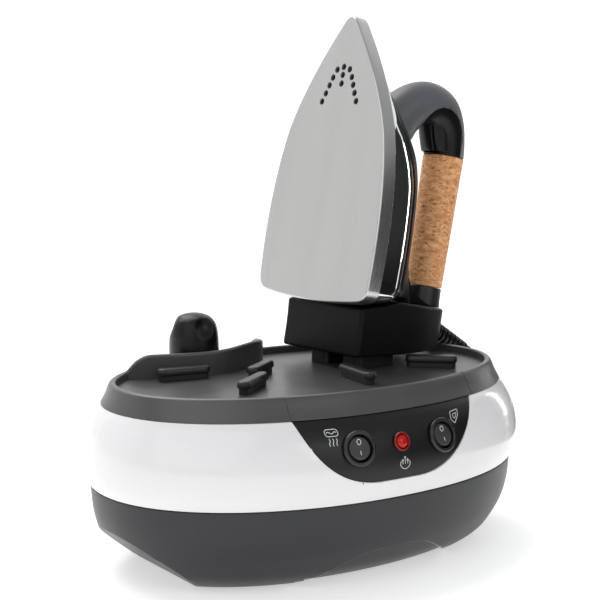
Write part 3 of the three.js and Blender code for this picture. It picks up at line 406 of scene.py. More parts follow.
def cork_surface():
    """Pressed cork: flat grains of uneven brown, dark pores and fine fibres round the grip."""
    material, shader, fill, add = new_material("cork")
    where = add("TexCoord", {}).outputs["Object"]

    def mapped(height_scale):
        return add("Mapping", {"Vector": where, "Scale": (1, 1, height_scale)}).outputs[0]

    def noise(vector, scale, detail, roughness):
        return add("TexNoise", {"Vector": vector, "Scale": scale, "Detail": detail,
                                "Roughness": roughness}).outputs["Fac"]

    def ramp(value, stops):
        node = add("ValToRGB", {"Fac": value})
        elements = node.color_ramp.elements
        for _ in stops[2:]:
            elements.new(0.5)
        for element, (position, colour) in zip(elements, stops):
            element.position = position
            element.color = (*colour, 1)
        return node.outputs["Color"]

    def multiply(a, b, factor):
        node = add("Mix", {})
        node.data_type, node.blend_type = "RGBA", "MULTIPLY"
        return fill(node, {"Factor": factor, "A": a, "B": b}).outputs["Result"]

    grains = add("TexVoronoi", {"Vector": mapped(2.8), "Scale": 260}).outputs["Color"]
    patches = noise(mapped(1.8), 150, 6, 0.78)
    fibres = noise(mapped(5), 230, 6, 0.75)
    pores = noise(mapped(2), 300, 5, 0.66)
    base = ramp(patches, [(0.34, (0.56, 0.22, 0.075)), (0.5, (0.84, 0.41, 0.17)),
                          (0.66, (1, 0.63, 0.34))])
    shade = ramp(grains, [(0.15, (0.66, 0.58, 0.5)), (0.85, (1, 1, 1))])
    lines = ramp(fibres, [(0.4, (0.5, 0.4, 0.33)), (0.52, (1, 1, 1))])
    holes = ramp(pores, [(0.36, (0.14, 0.08, 0.05)), (0.41, (1, 1, 1))])
    colour = multiply(multiply(multiply(base, shade, 0.4), lines, 0.6), holes, 0.92)
    dull = add("MapRange", {"Value": fibres, "To Min": 0.6, "To Max": 0.85})
    relief = add("Bump", {"Height": pores, "Strength": 0.55, "Distance": 0.0006})
    finer = add("Bump", {"Height": fibres, "Normal": relief.outputs[0], "Strength": 0.45,
                         "Distance": 0.0005})
    fill(shader, {"Base Color": colour, "Roughness": dull.outputs[0],
                  "Normal": finer.outputs[0]})
    return material


FINISH = {
    "dark": surface("dark_plastic", (0.021, 0.0215, 0.0225), 0.38, 1700, 0.12),
    "shell": surface("shell_plastic", (0.0145, 0.0152, 0.017), 0.4, 1700, 0.12),
    # painted highlight: a light grey for the arch's edge rounding, standing in for the floor
    # reflected there
    "edge": surface("painted_arch_highlight", (0.34, 0.35, 0.36), 0.3, 1200, 0.08),
    "deck": surface("deck_plastic", (0.048, 0.048, 0.048), 0.37, 1400, 0.16, 0.85),
    "panel": surface("panel_plastic", (0.006, 0.006, 0.0063), 0.34, 1700, 0.08, 0.4),
    "white": surface("white_plastic", (0.8, 0.795, 0.797), 0.16, 300, 0.012, spread=0.03,
                     tint=0.012, coat=0.2),
    "black": surface("black_plastic", (0.0045, 0.0045, 0.0048), 0.31, 1500, 0.1, 0.28),
    "heel": surface("heel_plastic", (0.006, 0.006, 0.0062), 0.4, 1500, 0.12, 0.14),
    "bezel": surface("bezel_plastic", (0.012, 0.012, 0.012), 0.27, 1500, 0.08),
    "grey": surface("grey_plastic", (0.092, 0.095, 0.102), 0.42, 1600, 0.1, 0.7),
    "rocker": surface("rocker_plastic", (0.042, 0.038, 0.038), 0.42, 2200, 0.5),
    "rubber": surface("black_rubber", (0.014, 0.014, 0.0145), 0.38, 1300, 0.22),
    "hose": surface("hose_rubber", (0.011, 0.011, 0.012), 0.5, 900, 0.25),
    "red": surface("red_plastic", (0.45, 0.005, 0.004), 0.16, 500, 0.02, 0.4, spread=0.03),
    "red_ring": surface("red_ring_plastic", (0.2, 0.006, 0.005), 0.2, 700, 0.03),
    "print": surface("white_print", (0.62, 0.64, 0.65), 0.5, 900, 0.05, tint=0.05),
    "sole": surface("sole_metal", (0.62, 0.615, 0.6), 0.3, 2400, 0.12, metallic=1,
                    spread=0.05, tint=0.04, stretch=(1, 1, 0.05)),
    # painted shade: a dark grey for the steam holes' walls, standing in for the shade deep in
    # them
    "hole": surface("painted_hole_shade", (0.09, 0.09, 0.09), 0.6, 1800, 0.2, metallic=0.5),
    "chrome": surface("chrome", (0.72, 0.74, 0.73), 0.05, 60, 0.015, metallic=1,
                      spread=0.025, tint=0.015),
    "steel": surface("steel", (0.42, 0.43, 0.44), 0.3, 900, 0.1, metallic=1),
    "brass": surface("brass", (0.55, 0.4, 0.17), 0.3, 900, 0.1, metallic=1),
    "ferrule": surface("ferrule_plastic", (0.017, 0.0175, 0.0185), 0.34, 1500, 0.1),
    "cork": cork_surface(),
}

# ---- steam hose: boot on the iron, drop, coil on the floor, return to the base ----
HOSE_RADIUS = 4.95
COIL_CENTRE = (96, 172)
BOOT_START = Vector((127, 29, 137))
BOOT_WAY = Vector((0.86, 0.05, -0.5)).normalized()
BOOT_LENGTH = 44
GLAND_X, GLAND_HEIGHT, GLAND_TIP = 12, 40, 137
MAINS_X = -46
COIL_STAGES = [
    # degrees round, radius, height: where the coil changes turn or layer
    (0, 70.6, 5.2), (65, 60, 5), (350, 60, 5), (415, 50, 5), (645, 50, 5), (710, 50, 15),
    (940, 50, 15), (1005, 60, 15), (1235, 60, 15), (1300, 60, 25), (1541, 60, 25),
    (1606, 70.6, 26),
]


def coil_point(degrees):
    for (start, r0, z0), (end, r1, z1) in zip(COIL_STAGES, COIL_STAGES[1:]):
        if degrees <= end:
            t = smoothstep(degrees, start, end)
            radius, angle = mix(r0, r1, t), radians(degrees)
            return (COIL_CENTRE[0] + radius * cos(angle),
                    COIL_CENTRE[1] + radius * sin(angle), mix(z0, z1, t))


boot_tip = BOOT_START + BOOT_WAY * BOOT_LENGTH
COIL_STEP = 14.6
hose_route = [
    tuple(boot_tip + BOOT_WAY * GAP), tuple(boot_tip + BOOT_WAY * 6),
    (177.5, 32.5, 105.5), (183.5, 34, 93), (186, 37, 77), (186, 41.5, 60), (185.5, 48, 43),
    (184.5, 57, 27), (182, 70, 14), (178.5, 86, 7), (174.5, 103, 5.2), (170.5, 121, 5.2),
    (168, 139, 5.2), (167, 156, 5.2),
    *[coil_point(i * COIL_STEP) for i in range(round(COIL_STAGES[-1][0] / COIL_STEP) + 1)],
    (24.8, 176, 29), (20.2, 163, 33.5), (15, 152, 37.8), (12.1, 145, 39.9),
    (GLAND_X, GLAND_TIP + 2, GLAND_HEIGHT), (GLAND_X, GLAND_TIP + GAP, GLAND_HEIGHT),
]


def tube(line, radius, sides=18):
    """Rings square to a line, turned as little as possible from one to the next."""
    rings, side = [], None
    for i, here in enumerate(line):
        way = ahead_at(line, i).normalized()
        if side is None:
            side = way.orthogonal().normalized()
        side = (side - way * side.dot(way)).normalized()
        other = way.cross(side)
        rings.append([
            tuple(here + (side * cos(a) + other * sin(a)) * radius)
            for a in circle_angles(sides)
        ])
    return loft(rings)


hose_line = spline(hose_route, 4)
hose = mesh_piece("steam_hose", tube(hose_line, HOSE_RADIUS))


def boot_shape():
    profile = [(0, 0), (8.2, 0), (8.2, 7), (7.6, 7.8)]
    for rib in range(7):
        low, radius = 9 + rib * 4.7, 7.4 - rib * 0.2
        profile += [(radius - 1.5, low), (radius - 0.25, low + 0.5), (radius, low + 1),
                    (radius, low + 2.6), (radius - 0.25, low + 3.1), (radius - 1.5, low + 3.6)]
    profile += [(6, 42.5), (6, 43.5), (5.6, BOOT_LENGTH), (0, BOOT_LENGTH)]
    turn = BOOT_WAY.to_track_quat("Z", "Y").to_matrix().to_4x4()
    return moved(lathe(profile, 40), Matrix.Translation(BOOT_START) @ turn)


boot = mesh_piece("boot_look", boot_shape())


def gland_shape(x, rows):
    turn = spin(-90, "X")
    return moved(lathe(rows, 40), shift(x, 0, GLAND_HEIGHT) @ turn)


relief_rows = [(0, 88), (8.6, 88), (8.6, 100.5), (13, 100.5), (13, 106), (12.2, 107), (9.6, 107)]
RELIEF_RIBS = 6
for rib in range(RELIEF_RIBS):
    low, radius = 109.5 + rib * 4.4, 9 - rib * 0.4
    relief_rows += [(radius - 1.3, low - 0.9), (radius, low), (radius - 0.1, low + 2),
                    (radius - 1.3, low + 2.6)]
relief_rows += [(6.5, GLAND_TIP - 1), (6.2, GLAND_TIP), (0, GLAND_TIP)]
hose_gland = mesh_piece("hose_gland_look", gland_shape(GLAND_X, relief_rows))
mains_rows = [(4.2, 88), (8.6, 88), (8.6, 96.5), (13, 96.5), (13, 103), (12.2, 104), (9, 104),
              (9, 109), (8.4, 109.8), (5, 109.8), (4.2, 109)]
mains_gland = mesh_piece("mains_gland_look", gland_shape(MAINS_X, mains_rows))
for piece, names in ((hose_gland, ["hose_gland"]), (mains_gland, ["mains_gland"])):
    settle(piece, "base", "black", names)

settle(hose, "base", "hose",
       ["steam_hose_drop", "steam_hose_coil", "steam_hose_return"])
hose.parent = None
del hose["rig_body"]
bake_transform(hose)

# ---- base: shells ----
housing_profile = spline(HOUSING_OUTSIDE, 5)
band_profile = [Vector((min(a, 159.5), min(b, 109), z)) for a, b, z in spline(BAND_OUTSIDE, 7)]


FAR = 150  # beyond the base on any side


def across_y(u, v, w):
    return (u, w, v)


def arch_outline():
    """The bell-shaped opening in the housing's front and back, smooth through its points."""
    right = spline(FRONT_ARCH, 4)
    return [(right[-1][0], -5), *reversed(right), *[(-x, z) for x, z in right[1:]],
            (-right[-1][0], -5)]


def end_slopes(inward):
    """Two wedges beyond the slopes under the base's ends, moved inward."""
    low, high, beyond = -12, 60, 60
    start = END_SLOPE_START - inward
    top = start + high * END_SLOPE_RUN
    outline = [(start + low * END_SLOPE_RUN, low), (top, high), (top + beyond, high),
               (top + beyond, low)]
    return [prism([(end * x, z) for x, z in outline], -FAR, FAR, across_y) for end in (1, -1)]


def box(low, high):
    (a, b, c), (d, e, f) = low, high
    ring = [(a, b), (d, b), (d, e), (a, e)]
    return loft([[(x, y, z) for x, y in ring] for z in (c, f)])


def shell(outside, inside):
    return ovals([*outside, *reversed(inside)], closed=True)


SLOPE_WALL = 4.1
housing = mesh_piece("housing_look", ovals(housing_profile))
room = mesh_piece("housing_room", ovals([
    (HOUSING_OUTSIDE[0][0] - WALL, HOUSING_OUTSIDE[0][1] - WALL, -1),
    *inset(housing_profile, WALL),
    (HOUSING_OUTSIDE[-1][0] - WALL, HOUSING_OUTSIDE[-1][1] - WALL, 58),
]))
carve(housing, *end_slopes(0))
carve(room, *end_slopes(SLOPE_WALL))
cut(housing, room)
carve(
    housing,
    prism(arch_outline(), -FAR, FAR, across_y),
    *[gland_shape(x, [(0, 60), (9, 60), (9, 140), (0, 140)]) for x in (GLAND_X, MAINS_X)],
)
round_edges(housing, 0.8, weld=0.15)
arch_edge = arch_outline()[1:-1]


def arch_highlight_faces(face):
    """The rounding between the outside and the arch's underside, where a light grey is painted as
    a highlight.
    """
    x, y, z = face.center / MM
    if z > 25 or abs(x) > 66 or not 0.1 < abs(face.normal.y) < 0.62:
        return False
    return min(hypot(x - u, z - w) for u, w in arch_edge) < 1.6


# the arch's edge rounding gets the light grey painted highlight
settle(housing, "base", "shell", ["lower_housing"],
       second="edge", is_second=arch_highlight_faces)


def panel_outline(grow):
    half, bottom, top = PANEL_HALF_WIDTH + grow, PANEL_BOTTOM - grow, BAND_TOP + 20
    end = half - 3
    right = bezier((end, BAND_TOP), [
        ((end - 13, BAND_TOP - 13.4), (end - 29, bottom), (PANEL_CENTRE_X + 12, bottom)),
    ], 28)
    left = bezier((PANEL_CENTRE_X - 18.5, bottom), [
        ((-half + 26, bottom), (-half + 5, BAND_TOP - 25.4), (-half, BAND_TOP)),
    ], 28)
    return [(end, top), *right, *left, (-half, top)]


def panel_cutter(grow):
    return prism(panel_outline(grow), -150, -30, across_y)


band = mesh_piece("band_look", shell(band_profile, inset(band_profile, WALL)))
carve(band, panel_cutter(0))
round_edges(band, 0.5, segments=3, weld=0.25)
settle(band, "base", "white", ["middle_band"])


def band_size(z, profile=band_profile):
    for low, high in zip(profile, profile[1:]):
        if z <= high[2]:
            t = (z - low[2]) / (high[2] - low[2])
            return mix(low[0], high[0], t), mix(low[1], high[1], t)
    return profile[-1][0], profile[-1][1]


def front_place(x, z, profile=BAND_OUTSIDE):
    """Where the band's outside is on its front, and which way it faces."""
    a, b = band_size(z, profile)
    y = -b * (1 - abs(x / a) ** OVAL_POWER) ** (1 / OVAL_POWER)
    below, above = band_size(z - 0.5, profile)[1], band_size(z + 0.5, profile)[1]
    slope = Vector((copysign(abs(x / a) ** (OVAL_POWER - 1), x) / a,
                    -(abs(y / b) ** (OVAL_POWER - 1)) / b, 0)).normalized()
    slope.z = below - above
    return Vector((x, y, z)), slope.normalized()


def panel_matrix(x, z):
    """A frame on the panel: +Z straight out of it and +Y up along it."""
    place, normal = front_place(x, z)
    across = Vector((-normal.y, normal.x, 0)).normalized()
    turn = Matrix((across, normal.cross(across), normal)).transposed().to_4x4()
    return Matrix.Translation(place) @ turn


SWITCH_MATRICES = [panel_matrix(x, SWITCH_HEIGHT) for x in SWITCH_XS]
LAMP_MATRIX = panel_matrix(LAMP_X, SWITCH_HEIGHT + 0.7)
panel = mesh_piece("panel_look", shell(inset(band_profile, 0.6), inset(band_profile, 3.2)))
carve(panel, panel_cutter(-GAP), operation="INTERSECT")
carve(
    panel,
    *[moved(rod(10.3, -12, 12), matrix) for matrix in SWITCH_MATRICES],
    moved(rod(5.3, -12, 12), LAMP_MATRIX),
)
round_edges(panel, 0.3, weld=0.15)
settle(panel, "base", "panel", ["control_panel"])

# ---- base: top cover, guard wall and front rim ----
rim_outside = spline([
    (148.1, 94.8, BAND_TOP + GAP), (145.6, 91, 115), (143.4, 87.4, RIM_TOP - 1.9),
    (142.6, 86.5, RIM_TOP - 0.7), (141.4, 85.3, RIM_TOP), (139.9, 83.8, RIM_TOP),
    (138.8, 82.7, RIM_TOP - 0.6), (138.3, 82.2, RIM_TOP - 1.8),
], 4)
top_cover = mesh_piece("top_cover_look", ovals([
    *rim_outside, (137.8, 81.7, PLATE_TOP), (137.8, 81.7, PLATE_TOP - 2.5),
    (144.5, 91.2, BAND_TOP + GAP),
], closed=True))
carve(top_cover, ovals([(*PLATE_EDGE, PLATE_TOP - 2.5), (*PLATE_EDGE, PLATE_TOP)]),
      operation="UNION")
guard_line = spline([(x, y, 0) for x, y in (
    (-112, 55), (-104, 51.5), (-92, 46.5), (-76, 40.5), (-58, 37.2), (-42, 37.2), (-26, 42.5),
    (-12, 49), (-4, 57), (0, 65),
)], 10)


def guard_ring(i):
    """A round-topped section of the guard wall, which rises out of the plate."""
    along = i / (len(guard_line) - 1)
    ahead = ahead_at(guard_line, i)
    side = Vector((-ahead.y, ahead.x, 0)).normalized()
    crest = smoothstep(along, 0.45, 0.78) - smoothstep(along, 0.82, 1)
    rise = 16 * smoothstep(along, -0.08, 0.2) + 1.5 * crest
    half = 2 + 2 * smoothstep(along, 0.72, 0.94)
    taper = sqrt(1 - ((along - 0.93) / 0.07) ** 2 * 0.75) if along > 0.93 else 1
    top = PLATE_TOP + rise
    section = [(-half, PLATE_TOP - 1), (half, PLATE_TOP - 1)]
    for k in range(11):
        angle = pi * k / 10
        section.append((half * taper * cos(angle), top - 2 + 2 * sin(angle)))
    return [tuple(guard_line[i] + side * offset + Vector((0, 0, z))) for offset, z in section]


carve(top_cover, loft([guard_ring(i) for i in range(len(guard_line))]), operation="UNION")


def front_block(grow):
    return box((-PANEL_HALF_WIDTH - grow, -120, RIM_TOP - 15),
               (PANEL_HALF_WIDTH + grow, -60, RIM_TOP + 15))


front_rim = mesh_piece("front_rim_look", ovals([
    *rim_outside, (138.5, 82.4, BAND_TOP + GAP + 2), (144.5, 91.2, BAND_TOP + GAP),
], closed=True))
carve(front_rim, front_block(-GAP), operation="INTERSECT")
front_cut = mesh_piece("front_cut", front_block(0))
carve(front_cut, ovals([(*PLATE_EDGE, 100), (*PLATE_EDGE, 130)]))
cut(top_cover, front_cut)
carve(top_cover, moved(rod(16, 100, 119.9), shift(CAP_X, CAP_Y, 0)))
settle(top_cover, "base", "deck", ["top_cover"])
round_edges(front_rim, 0.3)
settle(front_rim, "base", "deck", ["front_rim"])

# ---- base: pan, feet and rest pads ----
pan = mesh_piece("pan_look", ovals(spline([
    (125.9, 73.3, 3), (128.4, 76.4, 4), (135.9, 84.6, 10), (141.6, 90.1, 18), (146.6, 95.6, 28),
], 4)))
carve(pan, *end_slopes(SLOPE_WALL + 0.8))
room = mesh_piece("pan_room", ovals([
    (126.9, 75.2, 6), (132.5, 81.2, 10), (138.6, 87.1, 18), (144.4, 93.4, 29),
]))
carve(room, *end_slopes(2 * SLOPE_WALL + 0.8))
cut(pan, room)
round_edges(pan, 0.6, weld=0.15)
settle(pan, "base", "dark", ["bottom_pan"])


def stadium(length, width, z, sides=14):
    ring, radius = [], width / 2
    for k in range(2 * sides):
        angle = pi * (k % sides) / (sides - 1) - pi / 2
        end = 1 if k < sides else -1
        ring.append((end * (length / 2 - radius + radius * cos(angle)),
                     end * radius * sin(angle), z))
    return ring


PADS = [(-79.5, 31, -9, 37), (-30.5, 13, 35, 34.5), (-61, -24.5, 36, 40), (13.4, -37, -98, 41),
        (84.5, -28, -43, 36)]
for i, (x, y, direction, length) in enumerate(PADS):
    crown = [(1 - (1 - s) ** 2) ** 0.5 for s in (k / 6 for k in range(7))]
    pad = mesh_piece(f"rest_pad_{i + 1}_look", loft([
        *[stadium(length - shorter, width, height) for shorter, width, height in (
            (2, 6.4, 0), (2, 6.4, 3.2), (1.2, 7.8, 3.6), (0.2, 8.8, 4.1), (0, 9, 4.7))],
        *[stadium(length - 2.6 * (1 - c), 9 - 3.8 * (1 - c), 5.3 + 3 * k / 6)
          for k, c in enumerate(reversed(crown))],
        stadium(length - 4, 3.4, 8.3),
    ]))
    pad.matrix_world = (Matrix.Translation(Vector((x, y, PLATE_TOP + GAP)) * MM)
                        @ spin(direction, "Z"))
    settle(pad, "base", "rubber", [f"rest_pad_{i + 1}"], angle=50)
for i, (x, y) in enumerate([(-78, -36), (78, -36), (-78, 36), (78, 36)]):
    foot = mesh_piece(f"rubber_foot_{i + 1}_look", moved(lathe([
        (0, 0), (5.6, 0), (6, 0.4), (6.6, 0.4), (7.6, 0.1), (8, 0.6), (8, 2.7), (0, 2.7),
    ], 40), shift(x, y, 0)))
    settle(foot, "base", "rubber", [f"rubber_foot_{i + 1}"])

# ---- base: boiler cap ----
DIMPLE_RADIUS, DIMPLE_REACH, DIMPLE_HEIGHT = 13, 24, 152.5
cap_side = spline([
    (17, 119.4), (17, 138), (16.3, 145.5), (14.6, 151), (11.2, 154.9), (6, 157.1),
    (1.5, 157.75),
], 12)
cap_shape = lathe([
    (0, 105.8), (8.1, 105.8), (8.1, 120.4), (14.3, 120.4), (14.3, 118.8), (16.6, 118.8),
    *cap_side, (0, 157.8),
], 120)


def dimpled(point):
    """Pushes a point out of the three finger dimples, with a soft edge to each."""
    point = Vector(point)
    if point.z < 130:
        return tuple(point)
    for degrees in (-90, 30, 150):
        angle = radians(degrees)
        centre = Vector((DIMPLE_REACH * cos(angle), DIMPLE_REACH * sin(angle),
                         DIMPLE_HEIGHT))
        away = point - centre
        depth = DIMPLE_RADIUS - away.length
        point = point + away.normalized() * (depth + sqrt(depth**2 + 0.5)) / 2
    return tuple(point)


cap = mesh_piece("cap_look", moved(([dimpled(v) for v in cap_shape[0]], cap_shape[1]),
                                   shift(CAP_X, CAP_Y, 0)))
settle(cap, "cap", "black", ["boiler_cap"], angle=50)

# ---- panel: switches and lamp ----
BEZEL_ROWS = [
    (8.3, -11), (10, -11), (10, 0.4), (11.2, 0.4), (11.2, 1), (11, 1.5), (10.5, 2.1),
    (10, 2.4), (9.3, 2.4), (8.8, 2.2), (8.3, 1.4),
]


# a rocker's side view: its face folds along the pivot
ROCKER_SIDE = [(-12, -3.2), (12, -3.2), (12, 3.3), (0, 2.4), (-12, 3.3)]


def rocker_height(y):
    return 2.4 + 0.9 * abs(y) / 12


def ribbon(points, width, place, thickness=0.14, closed=False):
    """A thin printed line along (u, v) points; place puts (u, v, height) on a surface."""
    points = [Vector(p) for p in points]
    rings, count = [], len(points)
    for i, here in enumerate(points):
        ahead = points[(i + 1) % count] - points[i - 1] if closed else ahead_at(points, i)
        way = ahead.normalized()
        side = Vector((-way.y, way.x)) * width / 2
        rings.append([tuple(place(p.x, p.y, h)) for p, h in (
            (here - side, 0), (here + side, 0), (here + side, thickness),
            (here - side, thickness))])
    return loft(rings, closed)


def straight(a, b, steps=6):
    return [tuple(Vector(a).lerp(Vector(b), k / steps)) for k in range(steps + 1)]


def joined(shapes):
    verts, faces = [], []
    for more_verts, more_faces in shapes:
        faces += [tuple(i + len(verts) for i in face) for face in more_faces]
        verts += more_verts
    return verts, faces


for side, matrix in zip(("left", "right"), SWITCH_MATRICES):
    bezel = mesh_piece(f"bezel_{side}_look", moved(lathe(BEZEL_ROWS, 72), matrix))
    settle(bezel, "base", "bezel", [f"switch_bezel_{side}"], angle=35)
    tilt = (matrix @ shift(0, 0, -1.3)
            @ spin(-8, "X"))
    metres = Matrix.Translation(tilt.translation * MM) @ tilt.to_3x3().to_4x4()
    ball_rows = [(0, -7.6)] + [
        (7.6 * cos(a), 7.6 * sin(a))
        for a in (radians(d) for d in range(-84, 90, 6))
    ] + [(0, 7.6)]
    rocker = mesh_piece(f"rocker_{side}_look", lathe(ball_rows, 72), metres)
    carve(rocker, prism(ROCKER_SIDE, -12, 12, lambda u, v, w: (w, u, v)),
          operation="INTERSECT")
    round_edges(rocker, 0.8, segments=3, angle=20)
    settle(rocker, f"{side}_switch", "rocker", [f"rocker_{side}"],
           angle=30)

    def on_rocker(u, v, h):
        return (u, v, rocker_height(v) - 0.02 + h)

    marks = mesh_piece(f"rocker_marks_{side}", joined([
        ribbon([(1.35 * cos(a), 3.7 + 1.2 * 1.35 * sin(a)) for a in circle_angles(28)], 0.45,
               on_rocker, closed=True),
        ribbon(straight((0, -4.4), (0, -1.8)), 0.5, on_rocker),
    ]), metres)
    settle(marks, f"{side}_switch", "print")

lamp_ring = mesh_piece("lamp_ring_look", moved(lathe([
    (4.5, -9), (5, -9), (5, 0.4), (6.1, 0.4), (6.1, 0.8), (5.9, 1.3), (5.5, 1.7), (5, 1.7),
    (4.7, 1.4), (4.5, 0.9),
], 56), LAMP_MATRIX))
settle(lamp_ring, "base", "red_ring", ["lamp_bezel"])
lens_rows = [(0, -8), (4.2, -8), (4.2, 0.6)] + [
    (4.2 * cos(radians(d)), 0.6 + 2 * sin(radians(d)))
    for d in range(10, 90, 10)
] + [(0, 2.6)]
lens = mesh_piece("lamp_lens_look", moved(lathe(lens_rows, 48), LAMP_MATRIX))
settle(lens, "base", "red", ["lamp_lens"], angle=60)


# ---- panel: printed signs ----
panel_profile = inset(band_profile, 0.6)


def on_panel(u, v, h):
    place, normal = front_place(u, v, panel_profile)
    return place + normal * (h - 0.03)


def wave(length, swing, turns, steps=20):
    return [(length * (k / steps - 0.5), swing * sin(2 * pi * turns * k / steps))
            for k in range(steps + 1)]


def sign(points, place, degrees=0, closed=False, width=0.42):
    """A printed line drawn about (0, 0), turned and set down at a place on the panel."""
    (x, y), c, s = place, cos(radians(degrees)), sin(radians(degrees))
    line = [(x + u * c - v * s, y + u * s + v * c) for u, v in points]
    return ribbon(line, width, on_panel, closed=closed)


STEAM_AT, IRON_AT, HEAT_AT = (-51.2, 102), (45.6, 100.8), (-3.6, 79.6)
signs = mesh_piece("panel_signs", joined([
    sign(rounded([(-4.2, -1.9), (4.2, -1.9), (4.2, 1.9), (-4.2, 1.9)], 1.9, 8),
         STEAM_AT, closed=True),
    sign(wave(6.6, 0.5, 1.5), STEAM_AT),
    *[sign(wave(4.2, 0.4, 1), (STEAM_AT[0] - 0.4 + x, STEAM_AT[1] - 5.2), 90)
      for x in (-2.3, 0, 2.3)],
    sign(rounded([(-2.1, -4), (-4.6, -1.4), (-3.4, 2.8), (4.4, 3.5), (2.9, 0.2)], 0.9),
         IRON_AT, closed=True),
    sign(rounded([(-1.2, -1.4), (-2, 0), (-1.3, 1.3), (1.9, 1.7), (1.1, 0.1)], 0.4),
         IRON_AT, closed=True, width=0.34),
    sign(spline([(-3, 1), (-3.7, 0), (-3.5, -1.7), (-2, -3.3), (0, -3.9), (2, -3.3),
                      (3.5, -1.7), (3.7, 0), (3, 1)], 4), HEAT_AT),
    *[shape for x, top in ((-1.9, 2.2), (0, 3.9), (1.9, 2.2)) for shape in (
        sign(straight((x, -0.9), (x, top), 3), HEAT_AT, width=0.36),
        sign([(x - 0.75, top - 1.1), (x, top), (x + 0.75, top - 1.1)], HEAT_AT,
             width=0.32),
    )],
]))
settle(signs, "base", "print")


# ---- iron: soleplate and skirt ----
sole_right = bezier((0, -2.5), [
    ((25, -2.5), (45, 0), (49, 0.7)),
    ((54, 1.7), (SOLE_HALF_WIDTH - 1.2, 4.5), (SOLE_HALF_WIDTH - 0.6, 10)),
    ((SOLE_HALF_WIDTH + 2, 48), (SOLE_HALF_WIDTH - 0.5, 85), (SOLE_HALF_WIDTH - 9, 116)),
    ((SOLE_HALF_WIDTH - 16, 138), (26, 165), (9.5, 187)),
    ((5.4, 192.6), (3.2, SOLE_LENGTH), (0, SOLE_LENGTH)),
], 22)
sole_outline = sole_right + [(-y, z) for y, z in reversed(sole_right[1:-1])]
OUTLINE_MIDDLE = 90


def outline_ring(scale_y, scale_z, depth_at):
    ring = []
    for y, z in sole_outline:
        height = OUTLINE_MIDDLE + (z - OUTLINE_MIDDLE) * scale_z
        ring.append((depth_at(height), y * scale_y, height))
    return ring


def flat_at(depth):
    return lambda z: depth


sole = mesh_piece("sole_look", loft([outline_ring(y, z, flat_at(depth)) for y, z, depth in (
    (0.972, 0.985, 0), (0.985, 0.992, 0.15), (0.996, 0.998, 0.6), (1, 1, 1.4),
    (1, 1, SOLE_THICKNESS - 0.4), (0.996, 0.998, SOLE_THICKNESS),
)]), IRON_MATRIX)
STEAM_HOLES = [(0, 160), (0, 154.4), (0, 148.4)] + [
    (side * y, z) for side in (1, -1)
    for y, z in ((6.4, 158.2), (9.7, 152.7), (12.2, 147.3), (14.8, 141.7), (17.6, 136))
]
holes = joined([
    moved(lathe([(0, -1), (2.6, -1), (2.3, 0.1), (1.75, 0.7), (1.7, 6), (0, 6)], 28),
          shift(0, y, z) @ spin(90, "Y"))
    for y, z in STEAM_HOLES
])
carve(sole, holes)


def in_steam_hole(face):
    x, y, z = face.center / MM
    return 0.3 < x < 4.9 and any(hypot(y - v, z - w) < 2.2 for v, w in STEAM_HOLES)


# the steam holes' walls get the dark grey of painted shade
settle(sole, "iron", "sole", ["soleplate"], angle=35,
       second="hole", is_second=in_steam_hole)


def skirt_top(z):
    return max(SOLE_THICKNESS + 4, SKIRT_DEPTH - 30 * smoothstep(z, 78, 190))


def skirt_share(share):
    return lambda z: SOLE_THICKNESS + share * (skirt_top(z) - SOLE_THICKNESS)


SKIRT_OUTSIDE = [
    (0.985, 0.992, 0.0), (0.972, 0.99, 0.12), (0.95, 0.985, 0.3), (0.918, 0.976, 0.52),
    (0.88, 0.965, 0.72), (0.838, 0.95, 0.88), (0.812, 0.939, 0.955), (0.8, 0.9345, 0.988),
    (0.793, 0.932, 1.0),
]
SKIRT_INSIDE = [(0.71, 0.885, 1.0), (0.71, 0.885, 0.95), (0.85, 0.95, 0.7), (0.95, 0.977, 0)]
skirt = mesh_piece("skirt_look", loft([
    outline_ring(y, z, skirt_share(max(0.009, share)))
    for y, z, share in (*spline(SKIRT_OUTSIDE, 3), *SKIRT_INSIDE)
], closed=True), IRON_MATRIX)
settle(skirt, "iron", "chrome", ["skirt"], angle=50)

# ---- iron: platform ----
RIDGE = [
    # height, depth of the ridge, half its width
    (6, 80, 19), (20, 77, 18.5), (33, 74.2, 18), (51, 73.6, 18), (79, 72.6, 18),
    (90, 71.6, 18), (107, 67, 17.5), (120, 58.5, 17), (139, 45, 13), (152, 32.5, 10),
    (170, 20.5, 7), (182, 18, 3),
]
ridge_line = spline(RIDGE, 8)


def ridge_at(z):
    for low, high in zip(ridge_line, ridge_line[1:]):
        if z <= high[0]:
            t = max(0, (z - low[0]) / (high[0] - low[0]))
            return mix(low[1], high[1], t), mix(low[2], high[2], t)
    return ridge_line[-1][1], ridge_line[-1][2]


def sole_half_width(z):
    for (y0, z0), (y1, z1) in zip(sole_right, sole_right[1:]):
        if z0 <= z <= z1 and z1 > z0:
            return mix(y0, y1, (z - z0) / (z1 - z0))
    return 0


def platform_ring(z):
    wide = max(2.5, sole_half_width(OUTLINE_MIDDLE + (z - OUTLINE_MIDDLE) / 0.93) * 0.78 - 0.4)
    depth, ridge = ridge_at(z)
    narrow = min(ridge, wide * 0.8)
    low = skirt_top(z) + GAP
    rise = depth - low
    side = spline([
        (low, wide), (low + 0.1 * rise, wide), (low + 0.42 * rise, mix(narrow, wide, 0.66)),
        (low + 0.72 * rise, mix(narrow, wide, 0.3)), (depth - 2.5, narrow + 0.8),
        (depth - 0.7, narrow - 1.2), (depth, narrow - 4),
    ], 4)
    return [(p.x, p.y, z) for p in side] + [(p.x, -p.y, z) for p in reversed(side)]


